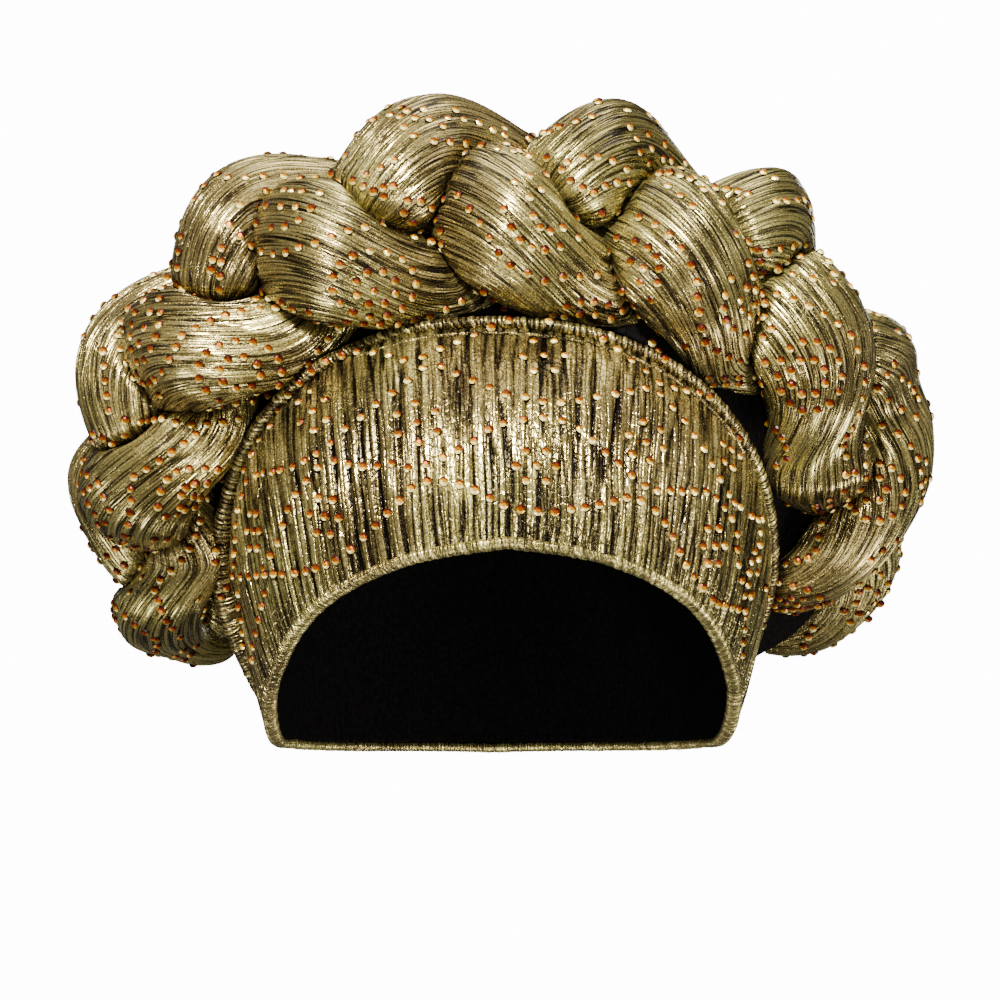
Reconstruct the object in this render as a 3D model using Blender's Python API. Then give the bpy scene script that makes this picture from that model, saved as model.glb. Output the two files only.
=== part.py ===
"""Braided turban hat: a fitted cap of pleated metallic cloth with a padded three-strand braid over it.

Metres, +Z up, the face side towards -Y. The origin is the head seat, the top of the inside of the cap.
"""

import math

import bpy
import numpy as np

# The cap's form, over its outer cloth: a rounded dome that narrows a little below its widest level.
HALF_WIDTH = 0.086
HALF_LENGTH = 0.101
CROWN_RISE = 0.088
WIDEST_Z = -0.085
FORM_POWER = 2.3
LOWER_TAPER = 3.1
TAPER_START = 0.012

# The layers, as depths below the outer cloth.
CLOTH_THICKNESS = 0.0015
LAYER_GAP = 0.0003
BASE_OUTER = CLOTH_THICKNESS + LAYER_GAP
BASE_INNER = 0.003

# The point behind the ears that all the panels fan out from, on the middle plane.
FAN_Y = 0.032
FAN_Z = -0.145
FAN_END = math.radians(88.5)
BAND_UNDER_ROLL = math.radians(0.8)
COVER_EDGE_LIFT = math.radians(84.0)

# How far over the head the band's upper edge and its roll lie: side angle, lift from the face in degrees.
ROLL_LIFT = (
    (-80, 56.5),
    (-60, 58.5),
    (-40, 58.5),
    (-20, 55.5),
    (0, 54.5),
    (20, 53.0),
    (40, 52.0),
    (60, 53.5),
    (80, 56.5),
)

# The lower edge of the cap: degrees round from the forehead, height.
RIM = (
    (0, -0.0765),
    (17, -0.0815),
    (27, -0.0880),
    (37, -0.0968),
    (45, -0.1055),
    (54, -0.1155),
    (65, -0.1250),
    (80, -0.1365),
    (95, -0.1425),
    (113, -0.1450),
    (140, -0.1480),
    (180, -0.1500),
)

# The gathered roll along the top of the band: side angle in degrees, half width, half height.
ROLL_SIZES = (
    (-80, 0.0022, 0.0020),
    (-66, 0.0040, 0.0034),
    (-44, 0.0030, 0.0028),
    (-20, 0.0021, 0.0021),
    (20, 0.0021, 0.0021),
    (44, 0.0026, 0.0025),
    (66, 0.0032, 0.0028),
    (80, 0.0022, 0.0020),
)
ROLL_END = math.radians(80)
ROLL_CLEARANCE = 0.0004
HEM_HALF_HEIGHT = 0.0019
HEM_HALF_THICKNESS = 0.0023

# The middle line of the braid from its left end to its right, a row for each lobe on its inner side:
# lobe, x, y, z, girth of the strands, lean of the braid's face in degrees.
BRAID_PATH = (
    (-4.9, -0.0835, 0.0360, -0.1080, 0.34, 65),
    (-4.4, -0.0960, 0.0310, -0.1050, 0.50, 65),
    (-4.0, -0.1060, 0.0220, -0.0950, 0.68, 65),
    (-3.5, -0.1130, 0.0110, -0.0780, 0.77, 64),
    (-3.0, -0.1150, -0.001, -0.0590, 0.84, 62),
    (-2.0, -0.0965, -0.020, -0.0145, 0.95, 56),
    (-1.0, -0.0545, -0.036, 0.0155, 1.00, 44),
    (0.00, 0.0010, -0.0410, 0.0245, 1.00, 36),
    (1.00, 0.0550, -0.0360, 0.0150, 1.00, 40),
    (1.50, 0.0785, -0.0290, 0.0020, 0.98, 47),
    (2.00, 0.0960, -0.0200, -0.0160, 0.95, 58),
    (2.50, 0.1080, -0.0100, -0.0380, 0.90, 58),
    (3.00, 0.1120, 0.0020, -0.0600, 0.80, 54),
    (3.50, 0.1100, 0.0150, -0.0820, 0.68, 52),
    (4.00, 0.1000, 0.0260, -0.0975, 0.52, 52),
    (4.50, 0.0830, 0.0330, -0.1050, 0.34, 52),
)

# How far the strands on the braid's outer side run ahead of those on its inner side:
# lobe, degrees of the strands' winding.
OUTER_LEAD = (
    (-5.0, -12),
    (-3.0, -12),
    (-1.0, -4),
    (0.0, 0),
    (1.0, 18),
    (1.6, 34),
    (2.4, 34),
    (5.0, 0),
)
FRONT_SWELL = 0.10
STRANDS = 3
STRAND_HALF_WIDTH = 0.0255
STRAND_HALF_DEPTH = 0.0190
SWING_ACROSS = 0.0155
SWING_DEEP = 0.0085
STRAND_ROLL = math.radians(35)
STRAND_GAP = 0.0016
CREASE_SHARPNESS = 6.0
SEAT_GAP = 0.0004
ROLL_GAP = 0.0027
MIDDLE_CLEARANCE = 0.6

# Where each strand leaves the braid's rhythm at its two ends and is drawn in to the cap:
# lobe, offset across the braid, offset out of its face, share of the full strand's size.
LEFT_ENDS_FROM = (-3.0, -3.5)
RIGHT_ENDS_FROM = (2.3, 2.7)
LEFT_ENDS = (
    (
        (-4.90, 0.0010, -0.0050, 0.50),
        (-4.40, 0.0040, -0.0080, 0.60),
        (-4.00, 0.0060, -0.0090, 0.70),
        (-3.75, 0.0050, -0.0080, 0.80),
        (-3.50, 0.0020, -0.0040, 0.90),
        (-3.00, -0.0090, 0.0065, 1.10),
    ),
    (
        (-4.90, -0.0080, 0.0030, 1.00),
        (-4.40, -0.0120, -0.0020, 0.95),
        (-4.00, -0.0050, -0.0030, 0.80),
        (-3.75, 0.0010, 0.0030, 0.80),
        (-3.50, 0.0060, 0.0055, 0.80),
        (-3.00, 0.0095, -0.0035, 0.85),
    ),
    (
        (-4.90, 0.0090, 0.0020, 0.50),
        (-4.40, 0.0070, 0.0055, 0.90),
        (-4.00, 0.0000, 0.0080, 1.15),
        (-3.75, -0.0085, 0.0050, 1.10),
        (-3.50, -0.0130, -0.0040, 1.00),
        (-3.00, -0.0040, -0.0040, 0.95),
    ),
)
RIGHT_ENDS = (
    (
        (2.40, 0.0070, -0.0080, 0.90),
        (2.70, 0.0030, -0.0100, 0.80),
        (3.00, -0.0050, -0.0100, 0.70),
        (3.20, -0.0070, -0.0090, 0.65),
        (3.50, -0.0070, -0.0080, 0.60),
        (4.00, -0.0040, -0.0070, 0.50),
        (4.50, 0.0000, -0.0060, 0.40),
    ),
    (
        (2.40, 0.0120, 0.0060, 1.00),
        (2.70, 0.0090, 0.0080, 1.05),
        (3.00, 0.0020, 0.0095, 1.10),
        (3.20, -0.0050, 0.0090, 1.08),
        (3.50, -0.0125, 0.0065, 1.00),
        (4.00, -0.0150, 0.0030, 0.80),
        (4.50, -0.0110, 0.0010, 0.70),
    ),
    (
        (2.40, -0.0150, 0.0010, 1.05),
        (2.70, -0.0130, 0.0010, 1.05),
        (3.00, -0.0030, -0.0010, 0.95),
        (3.20, 0.0050, -0.0020, 0.95),
        (3.50, 0.0130, 0.0000, 0.95),
        (4.00, 0.0130, 0.0040, 0.85),
        (4.50, 0.0100, 0.0020, 0.75),
    ),
)

# How finely each piece is faceted.
PANEL_COLUMNS = 22
BAND_ROWS = 4
SEAT_ROWS = 2
COVER_ROWS = 6
ROLL_STEPS = 38
TUBE_SIDES = 6
STRAND_SIDES = 12
STRAND_STEPS = 112
SOLVER_STEPS = 46

CENTRE = np.array([0.0, 0.0, WIDEST_Z])
FAN_POINT = np.array([0.0, FAN_Y, FAN_Z])
UP = np.array([0.0, 0.0, 1.0])
BACK = np.array([0.0, 1.0, 0.0])


def unit(vectors):
    return vectors / np.linalg.norm(vectors, axis=-1, keepdims=True)


def smooth_table(table, at):
    """The rows of a table, whose first column is its place, read at other places along smooth curves."""
    rows = np.array(table, float)
    place, values = rows[:, 0], rows[:, 1:]
    slopes = np.gradient(values, place, axis=0)
    at = np.clip(np.asarray(at, float), place[0], place[-1])
    index = np.clip(np.searchsorted(place, at) - 1, 0, len(place) - 2)
    step = (place[index + 1] - place[index])[:, None]
    share = (at - place[index])[:, None] / step
    before = values[index] * (1 + 2 * share) * (1 - share) ** 2
    after = values[index + 1] * share**2 * (3 - 2 * share)
    leaving = slopes[index] * step * share * (1 - share) ** 2
    arriving = slopes[index + 1] * step * share**2 * (share - 1)
    return before + leaving + after + arriving


def level_scale(rise, inset):
    """How wide the form is at a height above its widest level, as a share of that widest level."""
    top = CROWN_RISE - inset
    above = np.clip(rise / top, 0, 1)
    dome = (1 - above**FORM_POWER) ** (1 / FORM_POWER)
    below = np.minimum(rise, 0)
    skirt = 1 - LOWER_TAPER * (np.hypot(below, TAPER_START) - TAPER_START)
    return np.where(rise > 0, dome, skirt)


def reach_across(points, inset):
    across = np.abs(points[..., 0]) / (HALF_WIDTH - inset)
    along = np.abs(points[..., 1]) / (HALF_LENGTH - inset)
    return (across**FORM_POWER + along**FORM_POWER) ** (1 / FORM_POWER)


def inside_form(points, inset):
    rise = points[..., 2] - WIDEST_Z
    top = CROWN_RISE - inset
    return (rise < top) & (reach_across(points, inset) < level_scale(rise, inset))


def form_distance(origin, directions, inset=0.0):
    """How far the form's surface is from a point inside it, along each direction."""
    near = np.zeros(directions.shape[:-1])
    far = np.full(directions.shape[:-1], 0.4)
    for _ in range(SOLVER_STEPS):
        middle = (near + far) / 2
        inside = inside_form(origin + directions * middle[..., None], inset)
        near = np.where(inside, middle, near)
        far = np.where(inside, far, middle)
    return near


def fan_direction(side, lift):
    """The direction from the fan point at an angle to the side, and lifted from the face over the crown."""
    return np.stack(
        [np.sin(side), -np.cos(side) * np.cos(lift), np.cos(side) * np.sin(lift)],
        axis=-1,
    )


def fan_surface(side, lift, inset=0.0):
    directions = fan_direction(side, lift)
    reach = form_distance(FAN_POINT, directions, inset)
    return FAN_POINT + directions * reach[..., None]


def rim_points(degrees):
    """Points of the lower edge, at angles round from the forehead, positive towards +X."""
    height = smooth_table(RIM, np.abs(degrees))[:, 0]
    angle = np.radians(degrees)
    heading = np.stack([np.sin(angle), -np.cos(angle), np.zeros_like(angle)], axis=-1)
    scale = level_scale(height - WIDEST_Z, 0.0) / reach_across(heading, 0.0)
    return heading * scale[:, None] + height[:, None] * UP


def rim_lifts(side, first, last):
    """The lift of the lower edge at each side angle, on the face half or on the neck half."""
    points = rim_points(np.linspace(first, last, 400)) - FAN_POINT
    sides = np.arcsin(np.abs(points[:, 0]) / np.linalg.norm(points, axis=1))
    lifts = np.arctan2(points[:, 2], -points[:, 1]) % (2 * math.pi)
    order = np.argsort(sides)
    return np.interp(np.abs(side), sides[order], lifts[order])


def fan_behind_ear():
    return RIM[9][0]


def panel_sides():
    return np.linspace(-FAN_END, FAN_END, PANEL_COLUMNS + 1)


def lift_rows(start, stop, rows):
    share = np.linspace(0, 1, rows + 1)[:, None]
    return start + (stop - start) * share


def roll_lift(side):
    return np.radians(smooth_table(ROLL_LIFT, np.degrees(side))[:, 0])


def band_lifts(side):
    start = rim_lifts(side, 0, fan_behind_ear())
    return lift_rows(start, roll_lift(side) + BAND_UNDER_ROLL, BAND_ROWS)


def cover_lifts(side):
    stop = rim_lifts(side, fan_behind_ear(), 180)
    return lift_rows(np.full_like(side, COVER_EDGE_LIFT), stop, COVER_ROWS)


def seat_lifts(side):
    stop = np.full_like(side, COVER_EDGE_LIFT)
    return lift_rows(roll_lift(side) + BAND_UNDER_ROLL, stop, SEAT_ROWS + 1)[1:-1]


def new_object(name, points, faces, material):
    mesh = bpy.data.meshes.new(name)
    mesh.from_pydata([tuple(point) for point in points], [], faces)
    mesh.validate()
    mesh.materials.append(material)
    mesh.shade_smooth()
    mesh.set_sharp_from_angle(angle=math.radians(50))
    made = bpy.data.objects.new(name, mesh)
    bpy.context.scene.collection.objects.link(made)
    return made


def thick_panel(name, outer, inner, material):
    """A panel between two grids of points, closed round its four edges."""
    rows, columns = outer.shape[:2]
    points = np.concatenate([outer.reshape(-1, 3), inner.reshape(-1, 3)])
    under = rows * columns
    faces = []
    for row in range(rows - 1):
        for column in range(columns - 1):
            at = row * columns + column
            faces.append((at, at + 1, at + columns + 1, at + columns))
            low = at + under
            faces.append((low, low + columns, low + columns + 1, low + 1))
    for column in range(columns - 1):
        last = (rows - 1) * columns + column
        faces.append((column + 1, column, column + under, column + 1 + under))
        faces.append((last, last + 1, last + 1 + under, last + under))
    for row in range(rows - 1):
        first = row * columns
        last = first + columns - 1
        faces.append((first, first + columns, first + columns + under, first + under))
        faces.append((last + columns, last, last + under, last + columns + under))
    return new_object(name, points, faces, material)


def lofted(name, rings, material, closed=False):
    """A solid through rings of points, capped at both ends unless it closes on itself."""
    count, sides = rings.shape[:2]
    faces = []
    for ring in range(count if closed else count - 1):
        here, there = ring * sides, ((ring + 1) % count) * sides
        for side in range(sides):
            after = (side + 1) % sides
            faces.append((here + side, here + after, there + after, there + side))
    if not closed:
        faces.append(tuple(range(sides - 1, -1, -1)))
        faces.append(tuple((count - 1) * sides + side for side in range(sides)))
    return new_object(name, rings.reshape(-1, 3), faces, material)


def make_panels(cloth, knit):
    side = panel_sides()
    band, seat, cover = band_lifts(side), seat_lifts(side), cover_lifts(side)
    whole = np.concatenate([band, seat, cover])

    def layer(lifts, inset):
        return fan_surface(np.broadcast_to(side, lifts.shape), lifts, inset)

    thick_panel("base_cap", layer(whole, BASE_OUTER), layer(whole, BASE_INNER), knit)
    thick_panel("front_band", layer(band, 0.0), layer(band, CLOTH_THICKNESS), cloth)
    thick_panel("back_cover", layer(cover, 0.0), layer(cover, CLOTH_THICKNESS), cloth)


def roll_line(side):
    """The middle of the gathered roll, the direction away from the cap there, and its two half sizes."""
    sizes = smooth_table(ROLL_SIZES, np.degrees(side))
    on_cap = fan_surface(side, roll_lift(side))
    away = unit(on_cap - CENTRE)
    line = on_cap + away * (sizes[:, 1:] + ROLL_CLEARANCE)
    return line, away, sizes


def tube_rings(line, away, half_width, half_height, closed=False):
    if closed:
        tangent = unit(np.roll(line, -1, axis=0) - np.roll(line, 1, axis=0))
    else:
        tangent = unit(np.gradient(line, axis=0))
    across = unit(np.cross(away, tangent))
    lifted = np.cross(tangent, across)
    turn = np.linspace(0, 2 * math.pi, TUBE_SIDES, endpoint=False)
    wide = across[:, None, :] * (half_width[:, None] * np.cos(turn))[..., None]
    high = lifted[:, None, :] * (half_height[:, None] * np.sin(turn))[..., None]
    return line[:, None, :] + wide + high


def make_roll(cloth):
    side = np.linspace(-ROLL_END, ROLL_END, ROLL_STEPS + 1)
    line, away, sizes = roll_line(side)
    lofted("edge_roll", tube_rings(line, away, sizes[:, 0], sizes[:, 1]), cloth)


def make_hem(cloth):
    """A bound edge that follows the panels' own lower edges, from face to neck and round again."""
    side = panel_sides()
    sides = np.concatenate([side, side[::-1]])
    lifts = np.concatenate([band_lifts(side)[0], cover_lifts(side)[-1][::-1]])
    outer = fan_surface(sides, lifts)
    inner = fan_surface(sides, lifts, BASE_INNER)
    edge, outward = (outer + inner) / 2, unit(outer - inner)
    along = np.roll(edge, -1, axis=0) - np.roll(edge, 1, axis=0)
    below = unit(np.cross(along, outward))
    line = edge + below * (HEM_HALF_HEIGHT + LAYER_GAP)
    height = np.full(len(line), HEM_HALF_HEIGHT)
    thickness = np.full(len(line), HEM_HALF_THICKNESS)
    lofted("rim_hem", tube_rings(line, outward, height, thickness, True), cloth, True)


def braid_stations(count):
    """Places along the braid from left to right: the lobe, the middle line, the girth and the lean."""
    lobes = np.linspace(BRAID_PATH[0][0], BRAID_PATH[-1][0], count)
    rows = smooth_table(BRAID_PATH, lobes)
    return lobes, rows[:, :3], rows[:, 3], np.radians(rows[:, 4])


def braid_axes(line, lean):
    """For each station the direction out across the braid, and the one its face looks in."""
    tangent = unit(np.gradient(line, axis=0))
    outward = unit(np.cross(tangent, BACK))
    across = np.cos(lean)[:, None] * outward + np.sin(lean)[:, None] * BACK
    across = unit(across - tangent * (across * tangent).sum(1)[:, None])
    return np.stack([across, np.cross(tangent, across)], axis=1)


def strand_phase(lobes, strand):
    return math.radians(225) + math.radians(120) * (lobes - strand)


def strand_course(lobes, girth, strand):
    """Offsets of a strand's middle across and out of the braid, and its share of the full size."""
    phase = strand_phase(lobes, strand)
    lead = np.radians(smooth_table(OUTER_LEAD, lobes)[:, 0])
    phase = phase + lead * (1 + np.sin(phase)) / 2
    across, out = SWING_ACROSS * np.sin(phase), SWING_DEEP * np.sin(2 * phase)
    size = 1 + FRONT_SWELL * np.sin(2 * phase)
    plait = np.stack([across * girth, out * girth, size], axis=-1)
    ends = ((LEFT_ENDS, LEFT_ENDS_FROM), (RIGHT_ENDS, RIGHT_ENDS_FROM))
    for tables, (begin, full) in ends:
        share = np.clip((lobes - begin) / (full - begin), 0, 1)[:, None]
        drawn_in = smooth_table(tables[strand], lobes)
        plait = plait + share**2 * (3 - 2 * share) * (drawn_in - plait)
    return plait


def strand_rings(strand, sides, steps):
    """A strand's rings: soft ovals that press flat against each other half way between their middles."""
    lobes, line, girth, lean = braid_stations(steps + 1)
    axes = braid_axes(line, lean)
    half_sizes = girth[:, None] * (STRAND_HALF_WIDTH, STRAND_HALF_DEPTH)
    courses = np.stack([strand_course(lobes, girth, n) for n in range(STRANDS)], 1)
    sizes = courses[..., 2]
    least = half_sizes[:, 1:] * sizes * MIDDLE_CLEARANCE
    middles = off_the_cap(courses[..., :2], line[:, None, :], axes, least)
    middles = middles / half_sizes[:, None, :]
    own, size = middles[:, strand], sizes[:, strand]
    turn = np.linspace(0, 2 * math.pi, sides, endpoint=False)
    swing = np.sin(strand_phase(lobes, strand) - math.radians(225))
    angle = turn + STRAND_ROLL * swing[:, None]
    heading = np.stack([np.cos(angle), np.sin(angle)], axis=-1)
    crowding = np.ones(angle.shape) * size[:, None] ** -CREASE_SHARPNESS
    for other in range(STRANDS):
        if other == strand:
            continue
        towards = middles[:, other] - own
        apart = np.linalg.norm(towards, axis=1)
        lead = (size**2 - sizes[:, other] ** 2) / (2 * apart)
        limit = np.clip(apart / 2 + lead, 0.15 * apart, 0.85 * apart)
        limit = limit - STRAND_GAP / 2 / half_sizes[:, 1]
        facing = (heading * (towards / apart[:, None])[:, None, :]).sum(-1)
        crowding += np.maximum(facing / limit[:, None], 0) ** CREASE_SHARPNESS
    reach = crowding ** (-1 / CREASE_SHARPNESS)
    arm = heading * reach[..., None] * half_sizes[:, None, :] @ axes
    middle = line + np.einsum("nk,nkc->nc", own * half_sizes, axes)
    return middle[:, None, :] + arm * free_share(middle[:, None, :], arm)[..., None]


def off_the_cap(middles, line, axes, least):
    """Strand middles moved, in the plane of their station, to keep a least distance from the cap."""
    for _ in range(3):
        placed = line + middles @ axes
        away = placed - CENTRE
        length = np.linalg.norm(away, axis=-1)
        heading = away / length[..., None]
        short = np.maximum(form_distance(CENTRE, heading) + least - length, 0)
        flat = heading @ axes.transpose(0, 2, 1)
        middles = middles + flat * (short / (flat**2).sum(-1))[..., None]
    return middles


def blocked(points):
    """Whether points lie in the cap or the gathered roll, or closer to them than the seat gap."""
    side = np.linspace(-ROLL_END, ROLL_END, 120)
    line, _, sizes = roll_line(side)
    offset = points[..., None, :] - line
    on_roll = ((offset**2).sum(-1) < (sizes.max(axis=1) + ROLL_GAP) ** 2).any(-1)
    return on_roll | inside_form(points, -SEAT_GAP)


def free_share(middle, arm):
    """How much of each arm, out from a strand's middle, is free of the cap and of the gathered roll."""
    free = np.zeros(arm.shape[:-1])
    for step in (0.1, 0.02, 0.004):
        going = np.ones(free.shape, bool)
        for _ in range(10):
            share = np.minimum(free + step, 1)
            going &= ~blocked(middle + arm * share[..., None])
            free = np.where(going, share, free)
    return free


def inward_faces(rings, middles):
    """Triangles between rings, each four-cornered patch split along whichever diagonal bulges less."""
    count, sides = rings.shape[:2]
    faces = [tuple(range(sides - 1, -1, -1))]
    for ring in range(count - 1):
        core = (middles[ring] + middles[ring + 1]) / 2
        for side in range(sides):
            after = (side + 1) % sides
            here, there = ring * sides, (ring + 1) * sides
            falling = (rings[ring, side] + rings[ring + 1, after]) / 2 - core
            rising = (rings[ring, after] + rings[ring + 1, side]) / 2 - core
            a, b, c, d = here + side, here + after, there + after, there + side
            if (falling**2).sum() < (rising**2).sum():
                faces += [(a, b, c), (a, c, d)]
            else:
                faces += [(a, b, d), (b, c, d)]
    faces.append(tuple((count - 1) * sides + side for side in range(sides)))
    return faces


def make_strands(cloth):
    for strand in range(STRANDS):
        rings = strand_rings(strand, STRAND_SIDES, STRAND_STEPS)
        faces = inward_faces(rings, rings.mean(axis=1))
        new_object(f"braid_strand_{strand + 1}", rings.reshape(-1, 3), faces, cloth)


def new_material(name, colour, roughness, metallic):
    material = bpy.data.materials.new(name)
    material.use_nodes = True
    shader = material.node_tree.nodes["Principled BSDF"]
    shader.inputs["Base Color"].default_value = (*colour, 1)
    shader.inputs["Roughness"].default_value = roughness
    shader.inputs["Metallic"].default_value = metallic
    return material


def main():
    for old in list(bpy.data.objects):
        bpy.data.objects.remove(old)
    cloth = new_material("pleated_lame", (0.24, 0.19, 0.09), 0.38, 0.75)
    knit = new_material("black_knit", (0.012, 0.012, 0.016), 0.9, 0.0)
    make_panels(cloth, knit)
    make_roll(cloth)
    make_hem(cloth)
    make_strands(cloth)


main()
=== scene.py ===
"""Braided turban hat, dressed: pleated metallic cloth over its frame, a ruched roll, a hem and stones."""

import math

import bpy
import numpy as np
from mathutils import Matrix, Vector
from mathutils.bvhtree import BVHTree


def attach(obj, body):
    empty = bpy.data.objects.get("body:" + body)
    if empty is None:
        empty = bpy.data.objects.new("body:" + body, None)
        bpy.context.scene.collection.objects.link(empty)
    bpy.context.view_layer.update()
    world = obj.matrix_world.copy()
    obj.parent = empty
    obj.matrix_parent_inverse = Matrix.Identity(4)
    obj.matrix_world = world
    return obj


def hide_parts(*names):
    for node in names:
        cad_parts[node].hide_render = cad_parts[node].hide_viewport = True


# The cap's form, over its outer cloth, the point that the pleats fan out from, and how its surface is found.
HALF_WIDTH = 0.086
HALF_LENGTH = 0.101
CROWN_RISE = 0.088
WIDEST_Z = -0.085
FORM_POWER = 2.3
LOWER_TAPER = 3.1
TAPER_START = 0.012
BASE_OUTER = 0.0018
BASE_INNER = 0.003
FAN_POINT = np.array([0.0, 0.032, -0.145])
FAN_END = math.radians(88.5)
SOLVER_STEPS = 30
SOLVER_REACH = 0.4
CURVE_STEPS = 400
CENTRE = np.array([0.0, 0.0, WIDEST_Z])
UP = np.array([0.0, 0.0, 1.0])
BACK = np.array([0.0, 1.0, 0.0])
RIGHT = np.array([1.0, 0.0, 0.0])

# How far over the head the band's upper edge and its roll lie, in degrees: side angle, lift from the face.
ROLL_LIFT = (
    (-80, 56.5),
    (-60, 58.5),
    (-40, 58.5),
    (-20, 55.5),
    (0, 54.5),
    (20, 53.0),
    (40, 52.0),
    (60, 53.5),
    (80, 56.5),
)

# The lower edge of the cap: degrees round from the forehead, height.
RIM = (
    (0, -0.0765),
    (17, -0.0815),
    (27, -0.0880),
    (37, -0.0968),
    (45, -0.1055),
    (54, -0.1155),
    (65, -0.1250),
    (80, -0.1365),
    (95, -0.1425),
    (113, -0.1450),
    (140, -0.1480),
    (180, -0.1500),
)
BEHIND_EAR = 113

# The gathered roll along the top of the band: side angle in degrees, half width, half height.
ROLL_SIZES = (
    (-80, 0.0024, 0.0014),
    (-70, 0.0036, 0.0026),
    (-60, 0.0036, 0.0037),
    (-50, 0.0032, 0.0038),
    (-40, 0.0024, 0.0027),
    (-30, 0.0020, 0.0020),
    (-20, 0.0019, 0.0018),
    (20, 0.0018, 0.0018),
    (44, 0.0018, 0.0018),
    (66, 0.0020, 0.0018),
    (80, 0.0015, 0.0014),
)
ROLL_END = math.radians(80)
ROLL_CLEARANCE = 0.0002

# The middle line of the braid: lobe, x, y, z, girth of the strands, lean of the braid's face in degrees.
BRAID_PATH = (
    (-4.9, -0.0835, 0.0360, -0.1080, 0.34, 65),
    (-4.4, -0.0960, 0.0310, -0.1050, 0.50, 65),
    (-4.0, -0.1060, 0.0220, -0.0950, 0.68, 65),
    (-3.5, -0.1130, 0.0110, -0.0780, 0.77, 64),
    (-3.0, -0.1150, -0.001, -0.0590, 0.84, 62),
    (-2.0, -0.0965, -0.020, -0.0145, 0.95, 56),
    (-1.0, -0.0545, -0.036, 0.0155, 1.00, 44),
    (0.00, 0.0010, -0.0410, 0.0245, 1.00, 36),
    (1.00, 0.0550, -0.0360, 0.0150, 1.00, 40),
    (1.50, 0.0785, -0.0290, 0.0020, 0.98, 47),
    (2.00, 0.0960, -0.0200, -0.0160, 0.95, 58),
    (2.50, 0.1080, -0.0100, -0.0380, 0.90, 58),
    (3.00, 0.1120, 0.0020, -0.0600, 0.80, 54),
    (3.50, 0.1100, 0.0150, -0.0820, 0.68, 52),
    (4.00, 0.1000, 0.0260, -0.0975, 0.52, 52),
    (4.50, 0.0830, 0.0330, -0.1050, 0.34, 52),
)

# How far ahead in its swing a strand is on the braid's outer side: lobe, degrees.
OUTER_LEAD = (
    (-5.0, -12),
    (-3.0, -12),
    (-1.0, -4),
    (0.0, 0),
    (1.0, 18),
    (1.6, 34),
    (2.4, 34),
    (5.0, 0),
)

# The strands, how they swing across the braid and out of it, and how close they lie.
STRANDS = 3
SWING_START = math.radians(225)
LOBE_TURN = math.radians(120)
FRONT_SWELL = 0.10
STRAND_HALF_WIDTH = 0.0255
STRAND_HALF_DEPTH = 0.0190
SWING_ACROSS = 0.0155
SWING_DEEP = 0.0085
STRAND_ROLL = math.radians(35)
STRAND_GAP = 0.0006
CREASE_SHARPNESS = 6.0
SEAT_GAP = 0.0008
ROLL_GAP = 0.0022
MIDDLE_CLEARANCE = 0.6

# Where each strand is drawn in to the cap. The change sets in between two lobes, and each strand's rows are
# lobe, offset across the braid, offset out of it, share of its full size.
LEFT_ENDS_FROM = (-3.0, -3.5)
RIGHT_ENDS_FROM = (2.3, 2.7)
LEFT_ENDS = (
    (
        (-4.90, 0.0010, -0.0050, 0.50),
        (-4.40, 0.0040, -0.0080, 0.60),
        (-4.00, 0.0060, -0.0090, 0.70),
        (-3.75, 0.0050, -0.0080, 0.80),
        (-3.50, 0.0020, -0.0040, 0.90),
        (-3.00, -0.0090, 0.0065, 1.10),
    ),
    (
        (-4.90, -0.0080, 0.0030, 1.00),
        (-4.40, -0.0120, -0.0020, 0.95),
        (-4.00, -0.0050, -0.0030, 0.80),
        (-3.75, 0.0010, 0.0030, 0.80),
        (-3.50, 0.0060, 0.0055, 0.80),
        (-3.00, 0.0095, -0.0035, 0.85),
    ),
    (
        (-4.90, 0.0090, 0.0020, 0.50),
        (-4.40, 0.0070, 0.0055, 0.90),
        (-4.00, 0.0000, 0.0080, 1.15),
        (-3.75, -0.0085, 0.0050, 1.10),
        (-3.50, -0.0130, -0.0040, 1.00),
        (-3.00, -0.0040, -0.0040, 0.95),
    ),
)
RIGHT_ENDS = (
    (
        (2.40, 0.0070, -0.0080, 0.90),
        (2.70, 0.0030, -0.0100, 0.80),
        (3.00, -0.0050, -0.0100, 0.70),
        (3.20, -0.0070, -0.0090, 0.65),
        (3.50, -0.0070, -0.0080, 0.60),
        (4.00, -0.0040, -0.0070, 0.50),
        (4.50, 0.0000, -0.0060, 0.40),
    ),
    (
        (2.40, 0.0120, 0.0060, 1.00),
        (2.70, 0.0090, 0.0080, 1.05),
        (3.00, 0.0020, 0.0095, 1.10),
        (3.20, -0.0050, 0.0090, 1.08),
        (3.50, -0.0125, 0.0065, 1.00),
        (4.00, -0.0150, 0.0030, 0.80),
        (4.50, -0.0110, 0.0010, 0.70),
    ),
    (
        (2.40, -0.0150, 0.0010, 1.05),
        (2.70, -0.0130, 0.0010, 1.05),
        (3.00, -0.0030, -0.0010, 0.95),
        (3.20, 0.0050, -0.0020, 0.95),
        (3.50, 0.0135, 0.0000, 0.92),
        (4.00, 0.0155, 0.0040, 0.66),
        (4.50, 0.0125, 0.0020, 0.62),
    ),
)

# The strands' cloth: its mesh, its fine and broad pleats, how high they stand, the pleat height that stays
# in place, the girth below which they are lower, the least share that they keep, and the width of the
# texture round the strand.
STRAND_SIDES = 288
STRAND_STEPS = 300
STRAND_PLEATS = 56
BROAD_PLEATS = 11
FINE_LIFT = 0.0005
BROAD_LIFT = 0.0014
PLEAT_MIDDLE = 0.6
FULL_LIFT_SIZE = 0.8
LEAST_LIFT = 0.35
STRAND_TEXTURE = 0.135

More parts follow.
